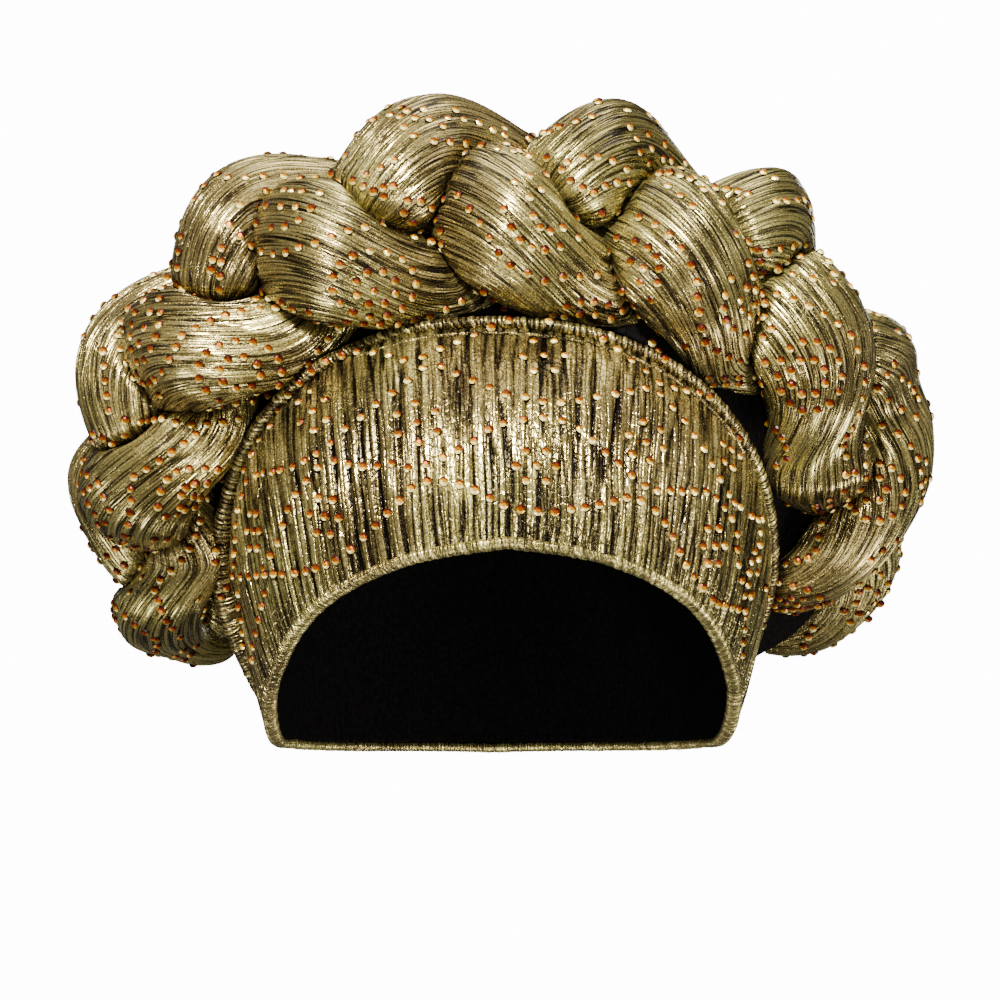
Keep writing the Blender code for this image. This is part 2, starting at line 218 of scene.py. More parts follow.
# The band and the cover: their meshes, how high their pleats stand, how far in from the edges these are
# lower, how far on under the roll the band goes, where the cover starts, and the pleats and texture of both.
BAND_COLUMNS = 760
BAND_ROWS = 56
BAND_DEPTH = 0.0020
BAND_SOFT_EDGE = 0.12
BAND_UNDER_ROLL = math.radians(0.8)
COVER_COLUMNS = 620
COVER_ROWS = 56
COVER_DEPTH = 0.0010
COVER_SOFT_EDGE = 0.06
COVER_START = math.radians(84)
PANEL_PLEATS = 100
SMALL_PLEATS = 2.3
PANEL_WANDER = 0.0005
PANEL_TEXTURE = 0.27

# The knit cap. It reaches a little past the fan's ends, so that it closes the corners over the hem.
CAP_COLUMNS = 120
CAP_ROWS = 60
CAP_SPREAD = 1.009
CAP_TEXTURE_LENGTH = 0.4

# The gathered roll, and the piping that is sewn under it on its right half.
ROLL_STEPS = 1500
ROLL_ROUND = 16
ROLL_GATHERS = 250
ROLL_DEPTH = 0.0006
PIPING_ENDS = (math.radians(-16), math.radians(72))
PIPING_STEPS = 300
PIPING_ROUND = 10
PIPING_BELOW = np.radians(1.9)
PIPING_RADIUS = 0.0006
PIPING_RISE = 0.0011
PIPING_GATHERS = 40
PIPING_DEPTH = 0.0001

# The hem: its mesh, gathers, how much of the painted shade its gathers' valleys are spared, and where it
# lies round the lower edge.
HEM_STEPS = 1700
HEM_ROUND = 12
HEM_GATHERS = 330
HEM_DEPTH = 0.0004
HEM_PALE = 0.4
HEM_INSET = 0.3
HEM_DROP = 0.0008
HEM_HALF_HEIGHT = 0.0017
HEM_HALF_DEPTH = 0.0024
HEM_SMOOTHING = 12
TUBE_TEXTURE = 0.016

# The seeds of each piece's pleats and stones.
STRAND_SEEDS = (40, 70)
BAND_SEED = 11
COVER_SEED = 23
ROLL_SEED = 31
PIPING_SEED = 37
HEM_SEED = 41
STONE_SEEDS = (51, 52)

# The metallic cloth's colour, from the painted shade in its pleats' valleys and creases to their tops.
CLOTH_COLOURS = (
    (0.05, (0.008, 0.006, 0.004)),
    (0.25, (0.055, 0.041, 0.018)),
    (0.50, (0.200, 0.160, 0.055)),
    (0.75, (0.480, 0.400, 0.150)),
    (0.95, (0.860, 0.750, 0.340)),
)
SHOT_COLOURS = ((0.40, (1.0, 0.95, 0.94)), (0.60, (0.96, 1.0, 0.88)))

# How each cloth looks: roughness, metallic share, fine lines, creases and crinkle cells in one metre, tone,
# how deep the painted shade in its valleys and its creases is, how far up its pleats that painted shade
# reaches, and how crinkled it is.
LAME_LOOKS = {
    "braid_lame": (0.23, 0.86, 830.0, 620.0, 1000.0, 0.67, -0.24, -0.58, 0.34, 0.20),
    "band_lame": (0.22, 0.88, 890.0, 300.0, 800.0, 0.70, -0.62, -0.46, 0.36, 1.0),
    "trim_lame": (0.28, 0.82, 900.0, 500.0, 1000.0, 0.84, -0.80, -0.12, 0.95, 0.4),
}

# How much rarer creases, crinkle cells and streaks are lengthwise, streaks in one metre, the foil's scale.
CREASE_STRETCH = 1 / 28
CELL_STRETCH = 0.5
STREAK_STRETCH = 0.07
STREAK_COUNT = 1500.0
FOIL_SCALE = 1700.0

# Black knit behind the gap between the roll and the braid. By its right end it moves outward and round.
BACKING_COLUMNS = 121
BACKING_ROWS = 13
BACKING_LIFT = math.radians(3.5)
BACKING_OUT_FROM = (3.2, 4.0)
BACKING_OUT = 0.017
BACKING_ROUND_FROM = (3.3, 4.1)
BACKING_ROUND = 5
BACKING_REACH = ((-5.0, 1.2), (-4.0, 0.85), (3.2, 0.85), (3.9, 1.0), (4.5, 1.1))
BACKING_THICKNESS = 0.0008
BACKING_TEXTURE_LENGTH = 0.05

# The stones: their girdle's radius, sides, rings from the foot up as a share of it and a height, and sizes.
# The view's pixel in metres and its middle, how deep a step in the cloth a seat may span, and the rays round
# a seat that find its slope.
STONE_RADIUS = 0.0014
STONE_SIDES = 8
STONE_RINGS = ((1.20, -0.0003), (1.0, 0.0002), (0.70, 0.0006), (0.44, 0.0008))
STONE_SIZES = (0.92, 1.08)
STONE_PIXEL = 0.000325
STONE_MIDDLE = 500
STONE_DEPTH_STEP = 0.003
SEAT_RAYS = 8

# A facet's colour by its tone, from pale, a painted highlight, through amber to near black, a painted shade.
# The tone's middle, how it follows the facet's lean to the right and upwards, as painted shade there and a
# painted highlight towards the lower left, how much it differs by stone and by facet, its most, and a
# stone's top and foot.
STONE_COLOURS = (
    (0.05, (0.95, 0.82, 0.32)),
    (0.24, (0.50, 0.28, 0.003)),
    (0.46, (0.17, 0.042, 0.0002)),
    (0.72, (0.06, 0.003, 0.0002)),
    (0.97, (0.003, 0.002, 0.001)),
)
TONE_MIDDLE = 0.42
PAINTED_LIGHT_BY_LEAN = (0.176, 0.576)
TONE_BY_STONE = 0.16
TONE_BY_FACET = 0.08
TONE_MOST = 0.84
TOP_TONE = 0.46
FOOT_TONE = 0.5

# Motifs over the sides, top and back: their distance along a strand, how many lie round it, a hook's radius,
# a line's pitch, how far a stone may face the front, and the room that it needs over it.
MOTIF_STEP = 0.021
MOTIFS_ROUND = 5
HOOK_RADIUS = 0.0065
LINE_PITCH = 0.0048
FRONT_FACING = 0.42
ROOM_OVER_STONE = 0.010

# Lines and clusters on the cover, seen from behind, in the same columns as the front's, and how far back the
# cover's stones begin.
COVER_STONES_FROM = 0.03
BACK_LINES = (
    (300, 470, 400, 400, 12, 8),
    (415, 397, 585, 397, 14, 12),
    (600, 400, 700, 470, 12, 8),
    (310, 560, 420, 520, 9, 8),
    (440, 515, 560, 515, 9, 9),
    (580, 520, 690, 560, 9, 8),
    (330, 650, 430, 620, 6, 7),
    (450, 616, 550, 616, 5, 7),
    (570, 620, 670, 650, 6, 7),
)
BACK_CLUSTERS = (
    (360, 500, 17, 17, 0),
    (500, 455, 18, 18, 0),
    (640, 500, 17, 17, 0),
    (430, 575, 17, 17, 0),
    (570, 575, 17, 17, 0),
    (375, 700, 15, 15, 0),
    (500, 675, 16, 16, 0),
    (625, 700, 15, 15, 0),
)

# Lines of stones seen from the front, in view pixels: from x, y, to x, y, bow to its left, stones.
STONE_LINES = (
    (103, 351, 109, 411, 0, 5),
    (129, 309, 126, 363, -9, 5),
    (127, 370, 155, 380, -7, 4),
    (144, 301, 137, 362, -10, 6),
    (160, 299, 144, 360, 6, 6),
    (150, 312, 139, 344, 0, 3),
    (153, 275, 167, 278, 0, 2),
    (181, 236, 178, 284, 0, 4),
    (184, 290, 208, 298, 0, 3),
    (213, 260, 211, 270, 0, 2),
    (222, 248, 219, 290, 0, 4),
    (176, 347, 162, 372, 0, 3),
    (182, 336, 241, 312, 3, 5),
    (259, 309, 309, 312, 2, 4),
    (256, 299, 282, 302, 2, 3),
    (141, 422, 163, 419, 0, 4),
    (176, 423, 238, 419, -3, 5),
    (279, 410, 326, 361, 4, 5),
    (342, 355, 404, 360, 5, 5),
    (423, 357, 509, 320, 0, 6),
    (338, 327, 308, 363, 0, 4),
    (347, 321, 414, 320, -4, 5),
    (430, 316, 476, 292, -2, 4),
    (484, 292, 504, 306, 0, 3),
    (240, 236, 299, 247, -12, 6),
    (315, 243, 382, 224, 2, 5),
    (257, 223, 299, 220, -6, 4),
    (266, 205, 311, 208, 0, 4),
    (266, 191, 320, 194, 2, 4),
    (228, 178, 263, 176, 0, 3),
    (284, 176, 332, 174, -3, 4),
    (353, 181, 384, 197, 0, 4),
    (240, 205, 222, 246, -2, 3),
    (398, 229, 414, 238, 0, 2),
    (408, 201, 432, 208, 3, 3),
    (404, 213, 440, 253, 0, 5),
    (432, 208, 442, 244, 2, 4),
    (458, 195, 498, 253, 2, 5),
    (510, 266, 545, 281, 0, 3),
    (504, 209, 578, 238, -26, 7),
    (529, 198, 578, 217, -24, 6),
    (515, 182, 530, 176, 0, 2),
    (547, 158, 541, 190, 2, 3),
    (434, 141, 529, 156, 3, 7),
    (374, 120, 424, 110, 2, 4),
    (404, 127, 414, 136, 0, 2),
    (400, 117, 443, 126, 3, 4),
    (352, 181, 394, 160, -1, 4),
    (374, 191, 393, 186, 1, 3),
    (448, 118, 493, 130, 3, 4),
    (456, 110, 463, 118, 0, 2),
    (505, 135, 520, 125, 0, 2),
    (526, 117, 538, 116, 0, 2),
    (529, 139, 592, 116, 0, 5),
    (567, 162, 626, 170, 9, 5),
    (562, 170, 582, 188, -2, 3),
    (630, 127, 640, 152, 2, 3),
    (648, 135, 649, 163, 3, 3),
    (665, 144, 663, 159, 0, 2),
    (671, 161, 685, 163, 0, 2),
    (594, 193, 630, 183, 4, 4),
    (649, 175, 690, 180, 4, 5),
    (668, 186, 693, 206, 0, 3),
    (703, 190, 738, 192, 2, 4),
    (722, 203, 748, 194, 3, 3),
    (602, 213, 691, 265, 17, 7),
    (617, 238, 651, 300, 25, 7),
    (630, 262, 640, 283, 9, 3),
    (610, 252, 623, 291, -4, 4),
    (528, 273, 597, 275, -3, 5),
    (553, 314, 622, 311, 11, 6),
    (549, 321, 611, 319, 6, 5),
    (697, 282, 705, 342, -2, 5),
    (717, 351, 765, 363, -4, 5),
    (731, 279, 763, 338, -24, 7),
    (745, 287, 764, 317, -15, 5),
    (747, 263, 755, 304, 3, 4),
    (736, 234, 757, 250, 0, 3),
    (767, 253, 820, 246, 4, 5),
    (777, 268, 812, 251, 0, 4),
    (760, 262, 761, 293, 2, 3),
    (763, 303, 771, 329, 0, 3),
    (751, 168, 775, 178, 1, 3),
    (699, 170, 726, 166, 3, 3),
    (776, 202, 797, 200, 0, 3),
    (777, 294, 851, 335, 5, 6),
    (858, 350, 858, 414, 6, 5),
    (852, 428, 846, 456, -5, 4),
    (768, 423, 787, 459, 6, 5),
    (776, 466, 787, 462, 0, 2),
    (820, 253, 834, 274, 2, 3),
    (833, 283, 793, 274, 0, 3),
    (850, 270, 857, 283, 0, 2),
    (869, 290, 877, 297, 0, 2),
    (868, 312, 874, 330, 0, 2),
    (887, 375, 894, 364, 0, 2),
    (902, 378, 918, 398, 2, 4),
    (877, 388, 916, 417, -3, 4),
    (882, 425, 911, 446, 2, 3),
    (865, 434, 865, 446, 0, 2),
    (652, 343, 665, 359, 0, 3),
    (709, 377, 754, 377, 0, 4),
    (713, 384, 752, 384, 0, 4),
    (846, 475, 850, 506, -4, 3),
    (911, 446, 921, 485, 4, 4),
    (821, 509, 816, 551, 2, 4),
    (809, 558, 786, 564, 0, 3),
    (766, 588, 779, 582, 0, 2),
    (768, 597, 803, 598, 0, 4),
    (793, 586, 820, 597, 2, 3),
    (774, 605, 797, 604, 2, 3),
    (784, 609, 826, 602, -2, 6),
    (813, 628, 804, 646, 0, 3),
    (870, 560, 896, 541, 0, 3),
    (603, 339, 659, 383, 1, 5),
    (674, 388, 710, 397, 0, 4),
    (660, 394, 685, 421, 0, 3),
    (685, 421, 728, 494, 1, 6),
    (734, 503, 757, 520, 0, 5),
    (762, 519, 757, 572, -1, 5),
    (737, 534, 744, 595, -2, 5),
    (754, 551, 750, 596, -4, 5),
    (441, 368, 506, 394, 0, 5),
    (525, 399, 597, 397, -5, 5),
    (615, 394, 645, 389, 0, 3),
    (504, 424, 562, 421, 4, 4),
    (579, 430, 645, 486, 0, 6),
    (657, 491, 706, 492, 0, 5),
    (716, 498, 731, 519, 1, 3),
    (489, 430, 408, 468, 6, 6),
    (392, 463, 335, 461, 5, 5),
    (319, 469, 283, 526, -6, 5),
    (278, 543, 264, 568, 0, 3),
    (427, 481, 490, 498, 5, 5),
    (504, 505, 555, 512, -2, 4),
    (571, 509, 627, 498, -1, 5),
    (641, 501, 679, 552, 6, 5),
    (686, 565, 711, 599, 0, 4),
    (718, 604, 745, 611, 0, 5),
    (411, 488, 351, 549, 1, 6),
    (336, 560, 284, 574, 3, 6),
    (275, 574, 241, 577, 0, 5),
    (423, 368, 331, 443, 0, 7),
    (317, 455, 293, 467, 0, 3),
    (281, 470, 257, 475, 0, 4),
    (270, 426, 245, 470, -2, 4),
    (247, 482, 236, 540, -3, 5),
    (235, 554, 233, 576, 0, 3),
    (227, 588, 221, 597, 0, 2),
    (239, 594, 244, 646, 0, 5),
    (269, 580, 252, 660, -2, 7),
    (745, 616, 742, 655, 0, 4),
    (752, 594, 748, 608, 0, 2),
    (125, 420, 125, 436, 2, 3),
    (112, 442, 94, 434, 0, 3),
    (84, 461, 90, 488, 0, 3),
    (98, 484, 109, 510, 0, 3),
    (84, 492, 104, 523, -3, 4),
    (196, 435, 134, 477, 1, 6),
    (131, 489, 125, 536, 2, 5),
    (124, 542, 107, 556, 0, 3),
    (205, 469, 158, 507, -16, 6),
    (206, 483, 180, 507, -10, 5),
    (193, 496, 207, 499, 0, 3),
    (166, 517, 194, 506, 1, 4),
    (124, 565, 103, 581, 1, 4),
    (200, 521, 160, 580, 7, 6),
    (155, 590, 180, 637, -4, 6),
    (116, 608, 155, 639, -1, 5),
    (216, 551, 215, 562, 0, 2),
    (217, 470, 222, 479, 0, 2),
)
# Rings of stones: middle x, y, half width, half height, from and to in degrees, stones.
STONE_ARCS = (
    (240, 372, 42, 31, 0, 336, 15),
    (240, 373, 21, 16, 10, 325, 8),
    (374, 284, 42, 33, 0, 336, 15),
    (376, 288, 21, 17, 20, 335, 8),
    (810, 376, 32, 35, 0, 334, 14),
    (808, 377, 18, 18, 20, 335, 8),
    (876, 492, 28, 29, 0, 332, 13),
    (873, 489, 13, 13, 0, 300, 6),
    (868, 601, 25, 30, -60, 160, 10),
    (868, 603, 12, 15, 0, 315, 8),
)
# Clusters of seven: middle x, y, half width, half height, turn in degrees.
STONE_CLUSTERS = (
    (544, 356, 21, 17, 0),
    (536, 466, 20, 17, 0),
    (313, 411, 15, 20, 25),
    (417, 423, 22, 20, 25),
    (646, 442, 18, 19, 20),
    (731, 450, 9, 18, 20),
    (325, 516, 14, 20, 5),
    (254, 531, 7, 20, 0),
    (713, 546, 10, 20, 0),
    (374, 291, 3, 3, 0),
)

# The lights: name, place, width and height, power, colour.
LIGHT_TARGET = (0, 0, -0.05)
LIGHTS = (
    ("key", (-0.34, -1.28, 1.06), (0.22, 0.17), 132, (1.0, 0.96, 0.86)),
    ("fill", (1.1, -1.0, 0.35), (0.35, 0.7), 4, (1.0, 0.98, 0.95)),
    ("left", (-0.62, -0.22, -0.68), (0.40, 0.28), 7, (1.0, 0.98, 0.94)),
    ("right", (0.62, -0.22, -0.68), (0.40, 0.28), 10, (1.0, 0.98, 0.94)),
    ("front", (0.25, -1.7, -0.22), (0.20, 0.24), 22, (1.0, 0.97, 0.90)),
    ("top", (0.1, 0.25, 1.3), (0.9, 0.7), 13, (1.0, 0.98, 0.95)),
    ("back", (0.3, 1.5, 0.1), (0.8, 0.7), 10, (1.0, 0.98, 0.95)),
)
WORLD_COLOUR = (1.0, 0.98, 0.95, 1)
WORLD_STRENGTH = 0.13

# The round backdrop. Its glow grows with the distance from the origin: distances, strengths.
STAGE_RADIUS = 5.0
STAGE_HEIGHT = 5.0
STAGE_FLOOR = -0.85
STAGE_SIDES = 48
STAGE_FLAT_RINGS = (0.7, 2.0)
GLOW_DISTANCES = (0.6, 1.6)
GLOW_STRENGTHS = (1.8, 14.0)

# The camera, and the directions ahead and to the right in its view.
VIEW_TARGET = Vector((0.0, 0.0, -0.065))
VIEW_DISTANCE = 1.3
VIEW_WIDTH = 0.325
SENSOR_WIDTH = 36
VIEW_AZIMUTH = math.radians(1.5)
AHEAD = np.array([math.sin(VIEW_AZIMUTH), math.cos(VIEW_AZIMUTH), 0.0])
RIGHTWARD = np.array([math.cos(VIEW_AZIMUTH), -math.sin(VIEW_AZIMUTH), 0.0])


def unit(vectors):
    return vectors / np.linalg.norm(vectors, axis=-1, keepdims=True)


def circle(angle):
    return np.stack([np.cos(angle), np.sin(angle)], axis=-1)


def lengths_along(line):
    steps = np.linalg.norm(np.diff(line, axis=0), axis=1)
    return np.concatenate([[0], np.cumsum(steps)])


def new_object(name, data):
    """A new object in the scene."""
    made = bpy.data.objects.new(name, data)
    bpy.context.scene.collection.objects.link(made)
    return made


def smooth_table(table, at):
    """The rows of a table, whose first column is its place, read at other places along smooth curves."""
    rows = np.array(table, float)
    place, values = rows[:, 0], rows[:, 1:]
    slopes = np.gradient(values, place, axis=0)
    at = np.clip(np.asarray(at, float), place[0], place[-1])
    index = np.clip(np.searchsorted(place, at) - 1, 0, len(place) - 2)
    step = (place[index + 1] - place[index])[:, None]
    share = (at - place[index])[:, None] / step
    before = values[index] * (1 + 2 * share) * (1 - share) ** 2
    after = values[index + 1] * share**2 * (3 - 2 * share)
    leaving = slopes[index] * step * share * (1 - share) ** 2
    arriving = slopes[index + 1] * step * share**2 * (share - 1)
    return before + leaving + after + arriving


def level_scale(rise, inset):
    """How wide the form is at a height over its widest level, as a share of it."""
    top = CROWN_RISE - inset
    above = np.clip(rise / top, 0, 1)
    dome = (1 - above**FORM_POWER) ** (1 / FORM_POWER)
    below = np.minimum(rise, 0)
    skirt = 1 - LOWER_TAPER * (np.hypot(below, TAPER_START) - TAPER_START)
    return np.where(rise > 0, dome, skirt)


def reach_across(points, inset):
    across = np.abs(points[..., 0]) / (HALF_WIDTH - inset)
    along = np.abs(points[..., 1]) / (HALF_LENGTH - inset)
    return (across**FORM_POWER + along**FORM_POWER) ** (1 / FORM_POWER)


def inside_form(points, inset):
    rise = points[..., 2] - WIDEST_Z
    top = CROWN_RISE - inset
    return (rise < top) & (reach_across(points, inset) < level_scale(rise, inset))


def form_distance(origin, directions, inset=0.0):
    """How far the form's surface lies from a point in it, along some directions."""
    near = np.zeros(directions.shape[:-1])
    far = np.full(directions.shape[:-1], SOLVER_REACH)
    for _ in range(SOLVER_STEPS):
        middle = (near + far) / 2
        inside = inside_form(origin + directions * middle[..., None], inset)
        near = np.where(inside, middle, near)
        far = np.where(inside, far, middle)
    return near


def fan_surface(side, lift, inset=0.0):
    """The form's points by the fan's angles: side from the middle, and lift from the face over the head."""
    directions = np.stack(
        [np.sin(side), -np.cos(side) * np.cos(lift), np.cos(side) * np.sin(lift)], axis=-1
    )
    reach = form_distance(FAN_POINT, directions, inset)
    return FAN_POINT + directions * reach[..., None]


def rim_lifts(side, first, last):
    """The lifts at which the fan's lines meet the lower edge, between two places round it."""
    degrees = np.linspace(first, last, CURVE_STEPS)
    height = smooth_table(RIM, np.abs(degrees))[:, 0]
    angle = np.radians(degrees)
    heading = np.stack([np.sin(angle), -np.cos(angle), np.zeros_like(angle)], axis=-1)
    scale = level_scale(height - WIDEST_Z, 0.0) / reach_across(heading, 0.0)
    points = heading * scale[:, None] + height[:, None] * UP - FAN_POINT
    sides = np.arcsin(np.abs(points[:, 0]) / np.linalg.norm(points, axis=1))
    lifts = np.arctan2(points[:, 2], -points[:, 1]) % (2 * math.pi)
    order = np.argsort(sides)
    return np.interp(np.abs(side), sides[order], lifts[order])


def roll_lift(side):
    return np.radians(smooth_table(ROLL_LIFT, np.degrees(side))[:, 0])


def roll_line(side):
    """The gathered roll's middle line, the way up from it, and its half widths and half heights."""
    sizes = smooth_table(ROLL_SIZES, np.degrees(side))
    on_cap = fan_surface(side, roll_lift(side))
    away = unit(on_cap - CENTRE)
    return on_cap + away * (sizes[:, 1:] + ROLL_CLEARANCE), away, sizes


def braid_stations(count):
    """Places along the braid: lobes, middle line, girths and leans."""
    lobes = np.linspace(BRAID_PATH[0][0], BRAID_PATH[-1][0], count)
    rows = smooth_table(BRAID_PATH, lobes)
    return lobes, rows[:, :3], rows[:, 3], np.radians(rows[:, 4])


def braid_axes(line, lean):
    tangent = unit(np.gradient(line, axis=0))
    outward = unit(np.cross(tangent, BACK))
    across = np.cos(lean)[:, None] * outward + np.sin(lean)[:, None] * BACK
    across = unit(across - tangent * (across * tangent).sum(1)[:, None])
    return np.stack([across, np.cross(tangent, across)], axis=1)


def strand_phase(lobes, strand):
    return SWING_START + LOBE_TURN * (lobes - strand)


def strand_course(lobes, girth, strand):
    """A strand's offsets across the braid and out of it, and its size."""
    phase = strand_phase(lobes, strand)
    lead = np.radians(smooth_table(OUTER_LEAD, lobes)[:, 0])
    phase = phase + lead * (1 + np.sin(phase)) / 2
    across = SWING_ACROSS * np.sin(phase)
    out = SWING_DEEP * np.sin(2 * phase)
    size = 1 + FRONT_SWELL * np.sin(2 * phase)
    plait = np.stack([across * girth, out * girth, size], axis=-1)
    ends = ((LEFT_ENDS, LEFT_ENDS_FROM), (RIGHT_ENDS, RIGHT_ENDS_FROM))
    for tables, (begin, full) in ends:
        share = np.clip((lobes - begin) / (full - begin), 0, 1)[:, None]
        drawn_in = smooth_table(tables[strand], lobes)
        plait = plait + share**2 * (3 - 2 * share) * (drawn_in - plait)
    return plait


def off_the_cap(middles, line, axes, least):
    """The strands' middles, moved out where they lie less than a least distance off the cap."""
    for _ in range(3):
        away = line + middles @ axes - CENTRE
        length = np.linalg.norm(away, axis=-1)
        heading = away / length[..., None]
        short = np.maximum(form_distance(CENTRE, heading) + least - length, 0)
        flat = heading @ axes.transpose(0, 2, 1)
        middles = middles + flat * (short / (flat**2).sum(-1))[..., None]
    return middles


ROLL_SIDES = np.linspace(-ROLL_END, ROLL_END, CURVE_STEPS)
ROLL_MIDDLE, _, ROLL_WIDTHS = roll_line(ROLL_SIDES)


def blocked(points):
    """Whether points lie in the cap or the gathered roll, or closer to them than the seat gap."""
    offset = points - FAN_POINT
    side = np.arcsin(offset[..., 0] / np.linalg.norm(offset, axis=-1))
    beside = np.stack(
        [np.interp(side, ROLL_SIDES, ROLL_MIDDLE[:, k]) for k in range(3)], axis=-1
    )
    size = np.interp(side, ROLL_SIDES, ROLL_WIDTHS.max(axis=1)) + ROLL_GAP
    on_roll = ((points - beside) ** 2).sum(-1) < size**2
    return on_roll | inside_form(points, -SEAT_GAP)


def free_share(middle, arm):
    """The share of each arm, from its middle outwards, that is clear of the cap and the roll."""
    free = np.zeros(arm.shape[:-1])
    for step in (0.1, 0.02, 0.004):
        going = np.ones(free.shape, bool)
        for _ in range(10):
            share = np.minimum(free + step, 1)
            going &= ~blocked(middle + arm * share[..., None])
            free = np.where(going, share, free)
    return free


def strand_rings(strand, sides, steps):
    """A strand's rings: soft ovals that press flat against each other half way between their middles."""
    lobes, line, girth, lean = braid_stations(steps + 1)
    axes = braid_axes(line, lean)
    half_sizes = girth[:, None] * (STRAND_HALF_WIDTH, STRAND_HALF_DEPTH)
    courses = np.stack([strand_course(lobes, girth, n) for n in range(STRANDS)], 1)
    sizes = courses[..., 2]
    least = half_sizes[:, 1:] * sizes * MIDDLE_CLEARANCE
    middles = off_the_cap(courses[..., :2], line[:, None, :], axes, least)
    middles = middles / half_sizes[:, None, :]
    own, size = middles[:, strand], sizes[:, strand]
    turn = np.linspace(0, 2 * math.pi, sides, endpoint=False)
    swing = np.sin(strand_phase(lobes, strand) - SWING_START)
    angle = turn + STRAND_ROLL * swing[:, None]
    heading = circle(angle)
    crowding = np.ones(angle.shape) * size[:, None] ** -CREASE_SHARPNESS
    for other in range(STRANDS):
        if other == strand:
            continue
        towards = middles[:, other] - own
        apart = np.linalg.norm(towards, axis=1)
        lead = (size**2 - sizes[:, other] ** 2) / (2 * apart)
        limit = np.clip(apart / 2 + lead, 0.15 * apart, 0.85 * apart)
        limit = limit - STRAND_GAP / 2 / half_sizes[:, 1]
        facing = (heading * (towards / apart[:, None])[:, None, :]).sum(-1)
        crowding += np.maximum(facing / limit[:, None], 0) ** CREASE_SHARPNESS
    reach = crowding ** (-1 / CREASE_SHARPNESS)
    arm = heading * reach[..., None] * half_sizes[:, None, :] @ axes
    middle = line + np.einsum("nk,nkc->nc", own * half_sizes, axes)
    rings = middle[:, None, :] + arm * free_share(middle[:, None, :], arm)[..., None]
    return rings, girth * size


def drift(points, scale, seed):
    """A smooth wandering value from -1 to 1 over space, from a few waves in fixed directions."""
    waves = np.random.default_rng(seed)
    total = np.zeros(points.shape[:-1])
    for _ in range(6):
        direction = waves.normal(size=3)
        direction *= waves.uniform(0.6, 1.4) / np.linalg.norm(direction) / scale
        total += np.sin(2 * math.pi * (points @ direction) + waves.uniform(0, 6.3))
    return total / 3


def pleat_row(at, count, seed):
    """Rounded pleats with sharp valleys between, uneven in height and width, closed round after count."""
    pleats = np.random.default_rng(seed)
    edges = np.arange(count + 1) + np.append(pleats.uniform(-0.32, 0.32, count), 0)
    edges[-1] = edges[0] + count
    heights = pleats.uniform(0.45, 1.0, count)
    at = (at - edges[0]) % count + edges[0]
    index = np.clip(np.searchsorted(edges, at, side="right") - 1, 0, count - 1)
    share = (at - edges[index]) / (edges[index + 1] - edges[index])
    return heights[index] * (1 - np.abs(2 * share - 1) ** 3.2)


def pleats(at, count, points, seed):
    """Two rows of pleats that take over from each other here and there, so that pleats join and part."""
    wander = drift(points, 0.06, seed) * 0.3
    one = pleat_row(at + wander, count, seed + 1)
    other = pleat_row(at + 0.37 + wander, count, seed + 2)
    share = np.clip(0.5 + 7.0 * drift(points, 0.05, seed + 3), 0, 1)
    return one * share + other * (1 - share)


def grid_normals(points, wrap):
    """The normals of a grid of points, whose rows may close round."""
    down = np.gradient(points, axis=0)
    if wrap:
        along = np.roll(points, -1, axis=1) - np.roll(points, 1, axis=1)
    else:
        along = np.gradient(points, axis=1)
    normal = np.cross(along, down)
    length = np.linalg.norm(normal, axis=-1, keepdims=True)
    return normal / np.maximum(length, 1e-12)


def outward_normals(points, middle, wrap):
    """Normals that face away from the middle, and whether they did so from the start."""
    normal = grid_normals(points, wrap)
    outward = ((points - middle) * normal).sum(-1).mean()
    return normal * np.sign(outward), outward > 0


def texture_places(across, down, shape):
    both = [np.broadcast_to(values, shape) for values in (across, down)]
    return np.stack(both, axis=-1).reshape(-1, 2)


def new_piece(name, points, quads, fans, uv, height, material, lay=None, wrap=0.0):
    """A mesh from points, quads, end fans, and for each point a texture place and a pleat height.

    The lay is the texture place once more, rolled up where the cloth closes round, so that it has no seam.
    The wrap is the texture's width where the cloth closes round."""
    mesh = bpy.data.meshes.new(name)
    faces = quads.tolist() + fans
    mesh.from_pydata(points.reshape(-1, 3), [], faces)
    mesh.materials.append(material)
    corners = np.empty(len(mesh.loops), np.int64)
    mesh.loops.foreach_get("vertex_index", corners)
    flat = uv[corners].astype(np.float32)
    # A face that closes the grid round takes the far end of the texture, so that no seam shows.
    width = uv[:, 0].max()
    sizes = np.array([len(face) for face in faces])
    face_of = np.repeat(np.arange(len(faces)), sizes)
    start = np.concatenate([[0], np.cumsum(sizes)[:-1]])
    high = np.maximum.reduceat(flat[:, 0], start)[face_of]
    low = np.minimum.reduceat(flat[:, 0], start)[face_of]
    flat[:, 0] += np.where((high - low > width / 2) & (flat[:, 0] < width / 2), wrap, 0)
    layer = mesh.uv_layers.new(name="cloth")
    layer.data.foreach_set("uv", flat.ravel())
    # The pleat height, which the metallic cloth's material turns into painted shade in the pleats' valleys.
    fold = mesh.attributes.new("fold", "FLOAT", "POINT")
    fold.data.foreach_set("value", height.astype(np.float32).ravel())
    if lay is None:
        lay = np.stack([uv[:, 0], np.zeros(len(uv)), uv[:, 1]], axis=-1)
    rolled = mesh.attributes.new("lay", "FLOAT_VECTOR", "POINT")
    rolled.data.foreach_set("vector", lay.astype(np.float32).ravel())
    mesh.shade_smooth()
    return new_object(name, mesh)


def grid_quads(rows, columns, wrap):
    here = np.arange(rows * columns).reshape(rows, columns)
    after = np.roll(here, -1, axis=1)
    quads = np.stack([here[:-1], after[:-1], after[1:], here[1:]], axis=-1)
    if not wrap:
        quads = quads[:, :-1]
    return quads.reshape(-1, 4)


def end_faces(rings, sides):
    """The two faces that close a tube's ends."""
    last = (rings - 1) * sides
    return [tuple(range(sides - 1, -1, -1)), tuple(range(last, last + sides))]


